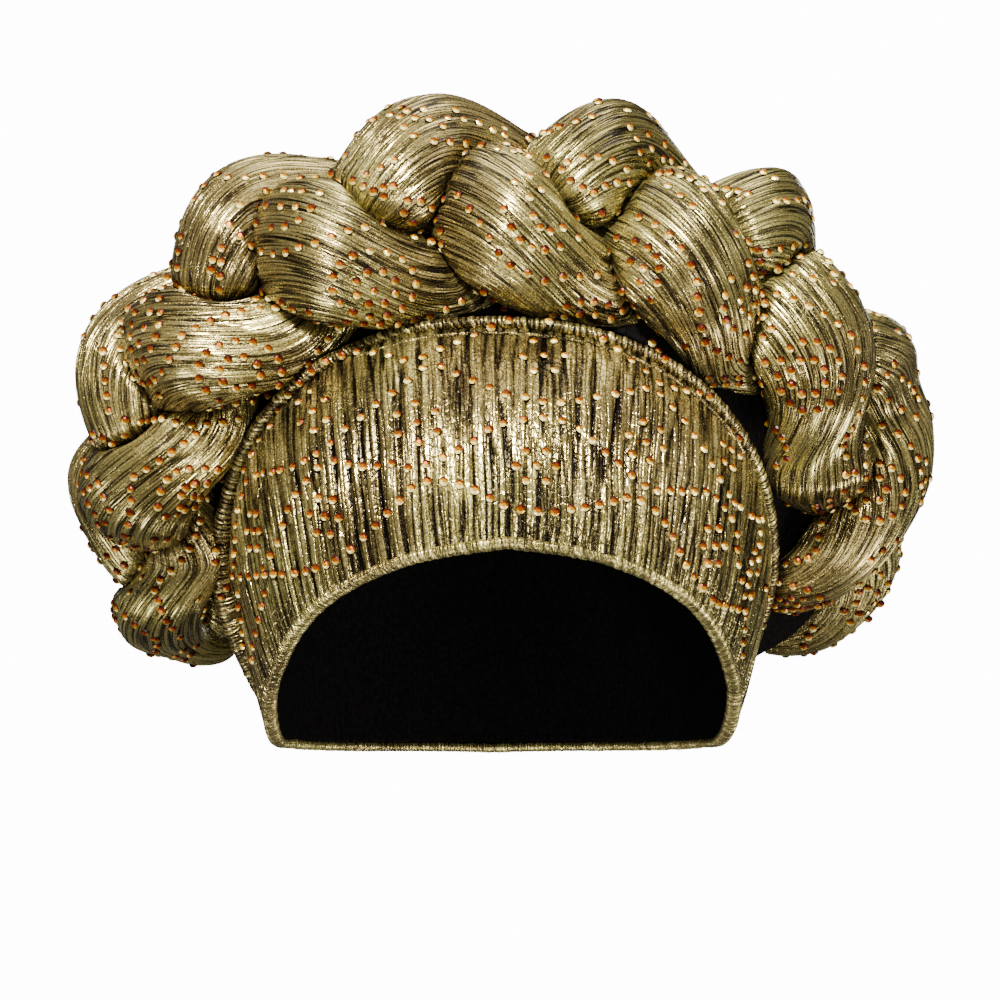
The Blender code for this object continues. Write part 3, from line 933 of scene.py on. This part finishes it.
def shell_faces(rows, columns):
    """Two grids back to back, the second one's points after the first one's, joined round their edge."""
    quads = grid_quads(rows, columns, False)
    under = rows * columns
    here = np.arange(under).reshape(rows, columns)
    edge = np.concatenate([here[0], here[1:, -1], here[-1, -2::-1], here[-2:0:-1, 0]])
    after = np.roll(edge, -1)
    rim = np.stack([edge, after, after + under, edge + under], axis=-1)[:, ::-1]
    return np.concatenate([quads, quads[:, ::-1] + under, rim])


def node_maker(name):
    material = bpy.data.materials.new(name)
    material.use_nodes = True
    tree = material.node_tree
    shader = tree.nodes["Principled BSDF"]

    def add(kind, inputs=(), **settings):
        node = tree.nodes.new("ShaderNode" + kind)
        for key, value in settings.items():
            setattr(node, key, value)
        for socket, value in dict(inputs).items():
            place = node.inputs[socket]
            if isinstance(value, bpy.types.NodeSocket):
                tree.links.new(value, place)
            else:
                place.default_value = value
        return node

    return material, shader, add, tree.links.new


def ramp(add, factor, stops):
    node = add("ValToRGB", {"Fac": factor})
    elements = node.color_ramp.elements
    while len(elements) < len(stops):
        elements.new(0.5)
    for element, (place, colour) in zip(elements, stops):
        element.position = place
        element.color = (*colour, 1)
    return node.outputs["Color"]


def total_of(add, terms):
    """The sum of values, each a socket and its weight."""
    total = 0.0
    for value, weight in terms:
        scaled = add("Math", {0: value, 1: weight}, operation="MULTIPLY").outputs[0]
        total = add("Math", {0: total, 1: scaled}, operation="ADD").outputs[0]
    return total


def lame(name):
    """Pleated metallic cloth: creases that wander lengthwise, fine lines and a crinkled foil thread, with
    painted shade in the pleats' valleys, the lines' troughs, the creases and the crinkle cells' edges.
    """
    roughness, metallic, line_count, crease_count, cell_count = LAME_LOOKS[name][:5]
    tone, valley_shade, crease_shade, reach, crinkled = LAME_LOOKS[name][5:]
    material, shader, add, link = node_maker(name)
    place = add("UVMap", uv_map="cloth").outputs["UV"]
    lay = add("Attribute", attribute_name="lay").outputs["Vector"]
    here = add("TexCoord").outputs["Object"]
    fold = add("Attribute", attribute_name="fold").outputs["Fac"]

    def noise(vector, scale, detail):
        return add("TexNoise", {"Vector": vector, "Scale": scale, "Detail": detail}).outputs["Fac"]

    def span(value, low, high, at_low, at_high):
        return add("MapRange", {0: value, 1: low, 2: high, 3: at_low, 4: at_high}).outputs[0]

    def laid(count, stretch_share):
        scale = (count, count, count * stretch_share)
        return add("Mapping", {"Vector": lay, "Scale": scale}).outputs[0]

    bend = noise(here, 40.0, 2.0)
    across = add("SeparateXYZ", {0: place}).outputs["X"]
    turned = total_of(add, ((across, line_count * math.tau), (bend, 2.0 * math.tau)))
    wave = add("Math", {0: turned}, operation="SINE").outputs[0]
    lines = span(wave, -1.0, -0.3, 0.0, 1.0)
    wander = noise(laid(crease_count, CREASE_STRETCH), 1.0, 2.0)
    offset = add("Math", {0: wander, 1: 0.5}, operation="SUBTRACT").outputs[0]
    apart = add("Math", {0: offset}, operation="ABSOLUTE").outputs[0]
    creases = span(apart, 0.0, 0.06, 0.0, 1.0)
    cell_places = {"Vector": laid(cell_count, CELL_STRETCH), "Scale": 1.0}
    cells = add("TexVoronoi", cell_places, feature="DISTANCE_TO_EDGE").outputs["Distance"]
    crinkle = span(cells, 0.0, 0.14, 0.0, 1.0)
    streaks = noise(laid(STREAK_COUNT, STREAK_STRETCH), 1.0, 3.0)
    foil = noise(here, FOIL_SCALE, 3.0)
    patch = noise(here, 30.0, 4.0)
    # Painted shade: the colour darkens in the pleats' valleys by the fold height, and in the lines' troughs,
    # the creases and the crinkle cells' edges. The streaks, patches and foil are the cloth's own uneven
    # tone.
    shades = (
        (span(fold, 0.04, reach, valley_shade, 0.0), 1.0),
        (span(lines, 0.0, 1.0, -0.14, 0.02), 1.0),
        (span(creases, 0.0, 1.0, crease_shade, 0.0), 1.0),
        (span(crinkle, 0.0, 1.0, -0.14, 0.03), crinkled),
        (span(streaks, 0.3, 0.7, -0.09, 0.09), 1.0),
        (span(patch, 0.3, 0.7, -0.10, 0.10), 1.0),
        (span(foil, 0.3, 0.7, tone - 0.09, tone + 0.09), 1.0),
    )
    colour = ramp(add, total_of(add, shades), CLOTH_COLOURS)
    shot = ramp(add, noise(here, 14.0, 3.0), SHOT_COLOURS)
    mixed = add("Mix", {0: 1.0, 6: colour, 7: shot}, data_type="RGBA", blend_type="MULTIPLY")
    link(mixed.outputs[2], shader.inputs["Base Color"])
    shader.inputs["Metallic"].default_value = metallic
    uneven = (
        (span(foil, 0.3, 0.7, -0.07, 0.09), 1.0),
        (span(patch, 0.3, 0.7, roughness - 0.05, roughness + 0.07), 1.0),
    )
    link(total_of(add, uneven), shader.inputs["Roughness"])
    grain = 0.4 + 0.6 * crinkled
    relief = (
        (lines, 0.00020 * grain),
        (creases, 0.00040),
        (crinkle, 0.00009 * crinkled),
        (streaks, 0.00014 * grain),
        (foil, 0.00004 * crinkled),
    )
    bump = add("Bump", {"Height": total_of(add, relief), "Strength": 1.0, "Distance": 1.0})
    link(bump.outputs[0], shader.inputs["Normal"])
    return material


def knit_material():
    material, shader, add, link = node_maker("black_knit")
    here = add("TexCoord").outputs["Object"]
    wave = {"Vector": here, "Scale": 420.0, "Distortion": 1.2, "Detail": 1.0}
    loops = add("TexWave", wave).outputs["Fac"]
    fibre = add("TexNoise", {"Vector": here, "Scale": 700.0, "Detail": 3.0}).outputs["Fac"]
    colour = ramp(add, fibre, ((0.3, (0.0012, 0.001, 0.001)), (0.7, (0.0045, 0.004, 0.004))))
    link(colour, shader.inputs["Base Color"])
    shader.inputs["Roughness"].default_value = 0.9
    shader.inputs["Specular IOR Level"].default_value = 0.02
    bump = add("Bump", {"Height": loops, "Strength": 0.6, "Distance": 0.0003})
    link(bump.outputs[0], shader.inputs["Normal"])
    return material


def stretch(uv_shape, width, length):
    """Texture places over a grid: metres along its columns and its rows."""
    rows, columns = uv_shape
    return texture_places(np.linspace(0, width, columns), np.linspace(0, length, rows)[:, None], uv_shape)


def make_strand(strand, material):
    """A strand's pleated cloth, and its points in rings for the stones."""
    rings, size = strand_rings(strand, STRAND_SIDES, STRAND_STEPS)
    middle = rings.mean(axis=1)
    normal, faces_out = outward_normals(rings, middle[:, None, :], True)
    side = np.arange(STRAND_SIDES) / STRAND_SIDES
    at = np.broadcast_to(side * STRAND_PLEATS, rings.shape[:2])
    fine_seed, broad_seed = STRAND_SEEDS
    fine = pleats(at, STRAND_PLEATS, rings, fine_seed + strand)
    broad = pleats(at * BROAD_PLEATS / STRAND_PLEATS, BROAD_PLEATS, rings, broad_seed + strand)
    lift = FINE_LIFT * (fine - PLEAT_MIDDLE) + BROAD_LIFT * (broad - PLEAT_MIDDLE)
    share = np.clip(size / FULL_LIFT_SIZE, LEAST_LIFT, 1.0)[:, None]
    points = rings + normal * (lift * share)[..., None]
    uv = texture_places(side * STRAND_TEXTURE, lengths_along(middle)[:, None], rings.shape[:2])
    quads = grid_quads(STRAND_STEPS + 1, STRAND_SIDES, True)
    fans = end_faces(STRAND_STEPS + 1, STRAND_SIDES)
    if not faces_out:
        quads = quads[:, ::-1]
        fans = [face[::-1] for face in fans]
    height = 0.75 * fine + 0.25 * broad
    round_up = circle(side * math.tau) * STRAND_TEXTURE / math.tau
    rolled = np.broadcast_to(round_up, (*rings.shape[:2], 2)).reshape(-1, 2)
    lay = np.concatenate([rolled, uv[:, 1:]], axis=1)
    name = f"strand_{strand + 1}_cloth"
    piece = new_piece(name, points, quads, fans, uv, height.ravel(), material, lay, STRAND_TEXTURE)
    return piece, points


def panel(name, side, lifts, seed, depth, soft_edge, material):
    """A pleated sheet over the form, its pleats running along the fan's lines from one edge to the other."""
    sides = np.broadcast_to(side, lifts.shape)
    ground = fan_surface(sides, lifts)
    normal, faces_out = outward_normals(ground, CENTRE, False)
    at = (sides - side[0]) / (side[-1] - side[0]) * PANEL_PLEATS
    fine = pleats(at, PANEL_PLEATS, ground, seed)
    small = pleats(at * SMALL_PLEATS, int(PANEL_PLEATS * SMALL_PLEATS), ground, seed + 9)
    share = np.linspace(0, 1, lifts.shape[0])[:, None]
    calm = 0.55 + 0.45 * np.clip(np.minimum(share, 1 - share) / soft_edge, 0, 1)
    lift = depth * calm * (0.7 * fine + 0.3 * small)
    lift += PANEL_WANDER * drift(ground, 0.045, seed + 20)
    points = ground + normal * lift[..., None]
    length = np.linalg.norm(np.diff(ground[:, ground.shape[1] // 2], axis=0), axis=1).sum()
    uv = stretch(lifts.shape, PANEL_TEXTURE, length)
    quads = grid_quads(*lifts.shape, False)
    if not faces_out:
        quads = quads[:, ::-1]
    height = fine * (0.65 + 0.35 * small)
    return new_piece(name, points, quads, [], uv, height.ravel(), material)


def lift_rows(start, stop, rows):
    share = np.linspace(0, 1, rows + 1)[:, None]
    return start + (stop - start) * share


def make_band(material):
    side = np.linspace(-FAN_END, FAN_END, BAND_COLUMNS + 1)
    lifts = lift_rows(rim_lifts(side, 0, BEHIND_EAR), roll_lift(side) + BAND_UNDER_ROLL, BAND_ROWS)
    return panel("band_cloth", side, lifts, BAND_SEED, BAND_DEPTH, BAND_SOFT_EDGE, material)


def make_cover(material):
    side = np.linspace(-FAN_END, FAN_END, COVER_COLUMNS + 1)
    stop = rim_lifts(side, BEHIND_EAR, 180)
    lifts = lift_rows(np.full_like(side, COVER_START), stop, COVER_ROWS)
    return panel("cover_cloth", side, lifts, COVER_SEED, COVER_DEPTH, COVER_SOFT_EDGE, material)


def make_cap(material):
    """The knit cap: an outer and an inner skin that meet at the lower edge."""
    side = np.linspace(-FAN_END, FAN_END, CAP_COLUMNS + 1)
    start = rim_lifts(side, 0, BEHIND_EAR)
    stop = rim_lifts(side, BEHIND_EAR, 180)
    lifts = lift_rows(start, stop, CAP_ROWS)
    side = side * CAP_SPREAD
    sides = np.broadcast_to(side, lifts.shape)
    outer = fan_surface(sides, lifts, BASE_OUTER)
    inner = fan_surface(sides, lifts, BASE_INNER)
    points = np.concatenate([outer.reshape(-1, 3), inner.reshape(-1, 3)])
    uv = np.concatenate([stretch(lifts.shape, PANEL_TEXTURE, CAP_TEXTURE_LENGTH)] * 2)
    faces = shell_faces(*lifts.shape)
    return new_piece("cap_knit", points, faces, [], uv, np.ones(len(points)), material)


def tube(name, course, sizes, sides, gathers, depth, seed, material, closed=False, pale=0.0):
    """A ruched tube whose gathers run round it, uneven in height and spacing.

    The course is its line and the way up from it, and the sizes are its half width and half height. The pale
    share is how far its gathers' valleys are spared the painted shade, as light as their tops."""
    line, away = course
    half_width, half_height = sizes
    count = len(line)
    if closed:
        tangent = unit(np.roll(line, -1, axis=0) - np.roll(line, 1, axis=0))
    else:
        tangent = unit(np.gradient(line, axis=0))
    across = unit(np.cross(away, tangent))
    lifted = np.cross(tangent, across)
    turn = np.linspace(0, math.tau, sides, endpoint=False)
    wide = across[:, None, :] * (half_width[:, None] * np.cos(turn))[..., None]
    high = lifted[:, None, :] * (half_height[:, None] * np.sin(turn))[..., None]
    rings = line[:, None, :] + wide + high
    at = np.linspace(0, gathers, count, endpoint=not closed)[:, None]
    lean = 0.6 * np.sin(turn)[None, :] * (1 + drift(rings, 0.03, seed + 5))
    fold = pleats(at + lean, gathers, rings, seed)
    round_out = unit(wide / half_width.mean() + high / half_height.mean())
    points = rings + round_out * (depth * (fold - 0.5))[..., None]
    quads = grid_quads(count + (1 if closed else 0), sides, True) % (count * sides)
    fans = [] if closed else end_faces(count, sides)
    uv = texture_places(lengths_along(line)[:, None], turn / math.tau * TUBE_TEXTURE, fold.shape)
    normal = np.cross(points[5, 1] - points[5, 0], points[6, 0] - points[5, 0])
    if normal @ (points[5, 0] - line[5]) < 0:
        quads = quads[:, ::-1]
        fans = [face[::-1] for face in fans]
    height = pale + (1 - pale) * fold
    return new_piece(name, points, quads, fans, uv, height.ravel(), material)


def make_roll(material):
    side = np.linspace(-ROLL_END, ROLL_END, ROLL_STEPS)
    line, away, sizes = roll_line(side)
    return tube(
        "roll_cloth", (line, away), sizes.T, ROLL_ROUND, ROLL_GATHERS, ROLL_DEPTH, ROLL_SEED, material
    )


def make_piping(material):
    """A thin smooth cord sewn along the lower side of the roll, on its right half."""
    side = np.linspace(*PIPING_ENDS, PIPING_STEPS)
    on_cap = fan_surface(side, roll_lift(side) - PIPING_BELOW)
    away = unit(on_cap - CENTRE)
    course = (on_cap + away * PIPING_RISE, away)
    sizes = np.full((2, PIPING_STEPS), PIPING_RADIUS)
    return tube(
        "piping", course, sizes, PIPING_ROUND, PIPING_GATHERS, PIPING_DEPTH, PIPING_SEED, material
    )


def make_hem(material):
    """The gathered hem, whose line runs once round the lower edge."""
    side = np.linspace(-FAN_END, FAN_END, HEM_STEPS // 2)
    sides = np.concatenate([side, side[::-1]])
    lifts = np.concatenate(
        [rim_lifts(side, 0, BEHIND_EAR), rim_lifts(side, BEHIND_EAR, 180)[::-1]]
    )
    outer = fan_surface(sides, lifts)
    inner = fan_surface(sides, lifts, BASE_INNER)
    edge = outer + HEM_INSET * (inner - outer)
    outward = unit(outer - inner)
    along = np.roll(edge, -1, axis=0) - np.roll(edge, 1, axis=0)
    below = unit(np.cross(along, outward))
    line = edge + below * HEM_DROP
    for _ in range(HEM_SMOOTHING):
        line = (np.roll(line, 1, axis=0) + 2 * line + np.roll(line, -1, axis=0)) / 4
    sizes = np.full((len(line), 2), (HEM_HALF_HEIGHT, HEM_HALF_DEPTH)).T
    return tube(
        "hem_cloth",
        (line, outward),
        sizes,
        HEM_ROUND,
        HEM_GATHERS,
        HEM_DEPTH,
        HEM_SEED,
        material,
        closed=True,
        pale=HEM_PALE,
    )


def make_backing(material):
    """Black knit that closes the gap between the roll and the braid, from the cap into the strands' back."""
    lobes, line, _, lean = braid_stations(BACKING_COLUMNS)
    outward = np.interp(lobes, BACKING_OUT_FROM, (0, BACKING_OUT))
    offset = line - FAN_POINT
    side = np.arcsin(offset[:, 0] / np.linalg.norm(offset, axis=1))
    side = side + np.radians(np.interp(lobes, BACKING_ROUND_FROM, (0, BACKING_ROUND)))
    inner = fan_surface(side, roll_lift(side) + BACKING_LIFT)
    outer = inner + smooth_table(BACKING_REACH, lobes) * (line - inner)
    outer = outer + braid_axes(line, lean)[:, 0] * outward[:, None]
    share = np.linspace(0, 1, BACKING_ROWS)[:, None, None]
    front = inner + share * (outer - inner)
    normal = grid_normals(front, False)
    normal = normal * np.sign((normal @ -BACK).mean())
    back = front - normal * BACKING_THICKNESS
    shape = front.shape[:2]
    faces = shell_faces(*shape)
    if np.cross(front[0, 1] - front[0, 0], front[1, 0] - front[0, 0]) @ normal[0, 0] < 0:
        faces = faces[:, ::-1]
    points = np.concatenate([front.reshape(-1, 3), back.reshape(-1, 3)])
    uv = np.concatenate([stretch(shape, PANEL_TEXTURE, BACKING_TEXTURE_LENGTH)] * 2)
    return new_piece("backing", points, faces, [], uv, np.ones(len(points)), material)


def line_spots(row):
    """Evenly spaced spots along a bowed line, in view pixels."""
    start, end = np.array(row[:2], float), np.array(row[2:4], float)
    chord = end - start
    left = np.array([chord[1], -chord[0]]) / np.hypot(*chord)
    share = np.linspace(0, 1, row[5])[:, None]
    return start + chord * share + left * row[4] * 4 * share * (1 - share)


def arc_spots(row):
    x, y, half_width, half_height, begin, end, count = row
    return (x, y) + (half_width, half_height) * circle(np.radians(np.linspace(begin, end, count)))


def cluster_spots(row):
    x, y, half_width, half_height, turn = row
    ring = (half_width, half_height) * circle(np.radians(turn + 60.0 * np.arange(6)))
    return np.concatenate([[[0.0, 0.0]], ring]) + (x, y)


def front_spots():
    spots = [line_spots(row) for row in STONE_LINES]
    spots += [arc_spots(row) for row in STONE_ARCS]
    spots += [cluster_spots(row) for row in STONE_CLUSTERS]
    return np.concatenate(spots)


def back_spots():
    spots = [line_spots(row) for row in BACK_LINES]
    spots += [cluster_spots(row) for row in BACK_CLUSTERS]
    return np.concatenate(spots)


def first_hit(trees, origin, direction):
    best = None
    for tree in trees:
        place, normal, _, distance = tree.ray_cast(origin, direction)
        if place is not None and (best is None or distance < best[2]):
            best = (place, normal, distance)
    return best


def seat_stone(trees, origin, direction):
    """Where a stone sits on the cloth that a ray meets: its foot's middle and the way it faces."""
    hit = first_hit(trees, origin, direction)
    if hit is None:
        return None
    beside = direction.orthogonal().normalized()
    across = direction.cross(beside)
    places, facing = [np.array(hit[0])], np.array(hit[1])
    for ray in range(SEAT_RAYS):
        angle = math.tau * ray / SEAT_RAYS
        step = (beside * math.cos(angle) + across * math.sin(angle)) * STONE_RADIUS
        near = first_hit(trees, origin + step, direction)
        if near is not None and abs(near[2] - hit[2]) < STONE_DEPTH_STEP:
            places.append(np.array(near[0]))
            facing = facing + np.array(near[1])
    facing = facing / np.linalg.norm(facing)
    heights = (np.array(places) - places[0]) @ facing
    return places[0] + facing * np.quantile(heights, 0.7), facing


def stone_seats(trees, spots, heading, sideways):
    """Seats for stones whose spots are seen along a heading, with the view's own right-hand direction."""
    upward = np.cross(sideways, heading)
    target = np.array(VIEW_TARGET)
    eye = target - heading * VIEW_DISTANCE
    seats = []
    for x, y in spots:
        aimed = target + STONE_PIXEL * ((x - STONE_MIDDLE) * sideways + (STONE_MIDDLE - y) * upward)
        seat = seat_stone(trees, Vector(eye), Vector(unit(aimed - eye)))
        if seat is not None:
            seats.append(seat)
    return seats


def motif_spots(kind):
    """A motif's stones as metres along a strand and round it: a hook, a ring or a bowed line."""
    if kind == 0:
        return HOOK_RADIUS * circle(np.radians(np.linspace(-40, 190, 7)))
    if kind == 1:
        ring = 0.8 * HOOK_RADIUS * circle(np.radians(np.arange(0, 360, 60)))
        return np.concatenate([[[0.0, 0.0]], ring])
    along = LINE_PITCH * np.arange(-2.5, 3)
    return np.stack([along, 2.0 * along**2 / HOOK_RADIUS / 4], axis=-1)


def strand_seats(points, cloths):
    """Seats over a strand's sides, top and back, where nothing lies close over them."""
    middle = points.mean(axis=1)
    normal, _ = outward_normals(points, middle[:, None, :], True)
    along = lengths_along(middle)
    steps, sides = points.shape[:2]
    seats = []
    places = np.arange(MOTIF_STEP, along[-1] - MOTIF_STEP / 2, MOTIF_STEP)
    for row, place in enumerate(places):
        for column in range(MOTIFS_ROUND):
            round_at = (column + 0.5 * (row % 2)) / MOTIFS_ROUND
            for spot in motif_spots((row + 2 * column) % 3):
                step = int(np.interp(place + spot[0], along, np.arange(steps)))
                around = np.linalg.norm(np.diff(points[step], axis=0), axis=1).sum()
                side = int((round_at + spot[1] / around) * sides) % sides
                near = [(side + shift) % sides for shift in range(-3, 4)]
                facing = unit(normal[max(step - 2, 0) : step + 3, near].mean(axis=(0, 1)))
                if facing @ AHEAD < -FRONT_FACING:
                    continue
                foot = points[step, near].mean(axis=0)
                heights = (points[step, near] - foot) @ facing
                foot = foot + facing * np.quantile(heights, 0.8)
                over = first_hit(cloths, Vector(foot + facing * STONE_RADIUS), Vector(facing))
                if over is None or over[2] > ROOM_OVER_STONE:
                    seats.append((foot, facing))
    return seats


def clear_seats(seats):
    """The seats that keep clear of the ones before them."""
    kept = []
    for foot, facing in seats:
        if all(np.linalg.norm(foot - other) > 2 * STONE_RADIUS for other, _ in kept):
            kept.append((foot, facing))
    return kept


def make_stones(name, seats, material, seed):
    """Round faceted stones in one mesh: each facet has its tone, pale at the lower left as a painted
    highlight and deep red at the upper right as painted shade, and the band round the foot is near black as
    a painted shadow."""
    stones = np.random.default_rng(seed)
    turn = math.tau * (np.arange(STONE_SIDES) + 0.5) / STONE_SIDES
    shape = []
    for share, height in STONE_RINGS:
        ring = circle(turn) * share * STONE_RADIUS
        shape.append(np.concatenate([ring, np.full((STONE_SIDES, 1), height)], axis=1))
    shape = np.concatenate(shape)
    rings = len(STONE_RINGS)
    sides = grid_quads(rings, STONE_SIDES, True)
    points, faces, tones = [], [], []
    for number, (foot, facing) in enumerate(seats):
        upright = unit(UP - facing * facing[2] + (0, 1e-4, 0))
        upright = unit(upright - facing * (upright @ facing))
        sideways = np.cross(upright, facing)
        size = stones.uniform(*STONE_SIZES)
        axes = np.stack([sideways, upright, facing])
        points.append(foot + size * shape @ axes)
        first = number * rings * STONE_SIDES
        kind = stones.uniform(-TONE_BY_STONE, TONE_BY_STONE)
        for place, quad in enumerate(sides):
            faces.append([first + corner for corner in quad])
            # Painted light: a facet that leans to the right and upwards is deeper in tone as painted shade,
            # and one that leans to the lower left is paler as a painted highlight.
            lean = shape[quad].mean(axis=0)[:2] / STONE_RADIUS @ PAINTED_LIGHT_BY_LEAN
            tone = TONE_MIDDLE + lean + kind + stones.uniform(-TONE_BY_FACET, TONE_BY_FACET)
            # The band round the foot takes the deepest tone, a painted shadow round the stone.
            tones.append(1.0 if place < STONE_SIDES else min(tone, TONE_MOST))
        top = first + (rings - 1) * STONE_SIDES
        faces.append(list(range(top, top + STONE_SIDES)))
        tones.append(TOP_TONE + 0.8 * kind)
        faces.append(list(range(first + STONE_SIDES - 1, first - 1, -1)))
        tones.append(FOOT_TONE)
    mesh = bpy.data.meshes.new(name)
    mesh.from_pydata(np.concatenate(points), [], faces)
    mesh.materials.append(material)
    tone = mesh.attributes.new("tone", "FLOAT", "FACE")
    tone.data.foreach_set("value", np.clip(tones, 0, 1).astype(np.float32))
    return new_object(name, mesh)


def stone_material():
    """Foil-backed stones: amber, with red facets as painted shade and pale facets as painted highlight."""
    material, shader, add, link = node_maker("amber_stone")
    tone = add("Attribute", attribute_name="tone").outputs["Fac"]
    link(ramp(add, tone, STONE_COLOURS), shader.inputs["Base Color"])
    shader.inputs["Metallic"].default_value = 0.3
    shader.inputs["Roughness"].default_value = 0.28
    shader.inputs["Specular IOR Level"].default_value = 0.12
    return material


def aim(obj, target):
    obj.rotation_euler = (Vector(target) - obj.location).to_track_quat("-Z", "Y").to_euler()


def area_light(name, place, size, power, colour):
    data = bpy.data.lights.new(name, "AREA")
    data.shape = "RECTANGLE"
    data.size, data.size_y = size
    data.energy = power
    data.color = colour
    light = new_object(name, data)
    light.location = place
    aim(light, LIGHT_TARGET)


def make_backdrop():
    """A pale round floor that curves up all round."""
    profile = [(radius, 0.0) for radius in STAGE_FLAT_RINGS]
    for degrees in range(0, 91, 10):
        bend = math.radians(degrees)
        profile.append((STAGE_RADIUS + math.sin(bend), 1 - math.cos(bend)))
    profile.append((STAGE_RADIUS + 1, STAGE_HEIGHT))
    turns = np.linspace(0, math.tau, STAGE_SIDES, endpoint=False)
    points = np.array(
        [(r * math.cos(t), r * math.sin(t), STAGE_FLOOR + z) for r, z in profile for t in turns]
    )
    quads = grid_quads(len(profile), STAGE_SIDES, True)
    middle = list(range(STAGE_SIDES))
    mesh = bpy.data.meshes.new("backdrop")
    mesh.from_pydata(points, [], quads.tolist() + [middle])
    mesh.shade_smooth()
    backdrop = new_object("backdrop", mesh)
    material, shader, add, link = node_maker("pale_floor")
    shader.inputs["Base Color"].default_value = (0.93, 0.93, 0.92, 1)
    shader.inputs["Roughness"].default_value = 0.8
    shader.inputs["Emission Color"].default_value = (1, 1, 1, 1)
    here = add("TexCoord").outputs["Object"]
    distance = add("VectorMath", {0: here}, operation="LENGTH").outputs["Value"]
    near, far = GLOW_DISTANCES
    weak, strong = GLOW_STRENGTHS
    glow = add("MapRange", {0: distance, 1: near, 2: far, 3: weak, 4: strong}).outputs[0]
    link(glow, shader.inputs["Emission Strength"])
    mesh.materials.append(material)
    backdrop.visible_glossy = False
    backdrop.visible_diffuse = False


def make_lights():
    world = bpy.data.worlds.new("studio")
    bpy.context.scene.world = world
    world.use_nodes = True
    sky = world.node_tree.nodes["Background"]
    sky.inputs["Color"].default_value = WORLD_COLOUR
    sky.inputs["Strength"].default_value = WORLD_STRENGTH
    for row in LIGHTS:
        area_light(*row)


def make_camera():
    data = bpy.data.cameras.new("view")
    data.sensor_width = SENSOR_WIDTH
    data.lens = SENSOR_WIDTH * VIEW_DISTANCE / VIEW_WIDTH
    camera = new_object("view", data)
    camera.location = VIEW_TARGET - VIEW_DISTANCE * Vector(AHEAD)
    aim(camera, VIEW_TARGET)
    bpy.context.scene.camera = camera


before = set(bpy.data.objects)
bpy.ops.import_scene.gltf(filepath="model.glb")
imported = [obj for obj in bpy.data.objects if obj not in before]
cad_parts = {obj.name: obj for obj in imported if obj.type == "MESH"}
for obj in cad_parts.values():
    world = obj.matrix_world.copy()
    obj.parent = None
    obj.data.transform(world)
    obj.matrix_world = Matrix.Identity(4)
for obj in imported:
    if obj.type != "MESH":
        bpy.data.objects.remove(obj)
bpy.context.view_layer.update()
make_backdrop()
make_lights()
make_camera()
braid_lame, band_lame, trim_lame = [lame(name) for name in LAME_LOOKS]
knit = knit_material()

made = {}
strand_points = []
for strand in range(STRANDS):
    piece, points = make_strand(strand, braid_lame)
    made[f"braid_strand_{strand + 1}"] = piece
    strand_points.append(points)
made["front_band"] = make_band(band_lame)
made["back_cover"] = make_cover(band_lame)
made["base_cap"] = make_cap(knit)
made["edge_roll"] = make_roll(trim_lame)
made["rim_hem"] = make_hem(trim_lame)
for node, piece in made.items():
    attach(piece, "root")
    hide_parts(node)
piping = make_piping(trim_lame)
backing = make_backing(knit)
bpy.context.view_layer.update()
graph = bpy.context.evaluated_depsgraph_get()
cloths = [BVHTree.FromObject(piece, graph) for piece in (*made.values(), backing)]
stone = stone_material()
front_seats = stone_seats(cloths, front_spots(), AHEAD, RIGHTWARD)
side_seats = [seat for points in strand_points for seat in strand_seats(points, cloths)]
back_seats = stone_seats(cloths, back_spots(), -BACK, -RIGHT)
back_seats = [seat for seat in back_seats if seat[0][1] > COVER_STONES_FROM]
seats = clear_seats(front_seats + side_seats + back_seats)
front_count = len(clear_seats(front_seats))
front_stones = make_stones("front_stones", seats[:front_count], stone, STONE_SEEDS[0])
other_stones = make_stones("other_stones", seats[front_count:], stone, STONE_SEEDS[1])
for piece, slot in (
    (piping, "pleated_lame"),
    (backing, "black_knit"),
    (front_stones, "pleated_lame"),
    (other_stones, "pleated_lame"),
):
    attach(piece, "root")
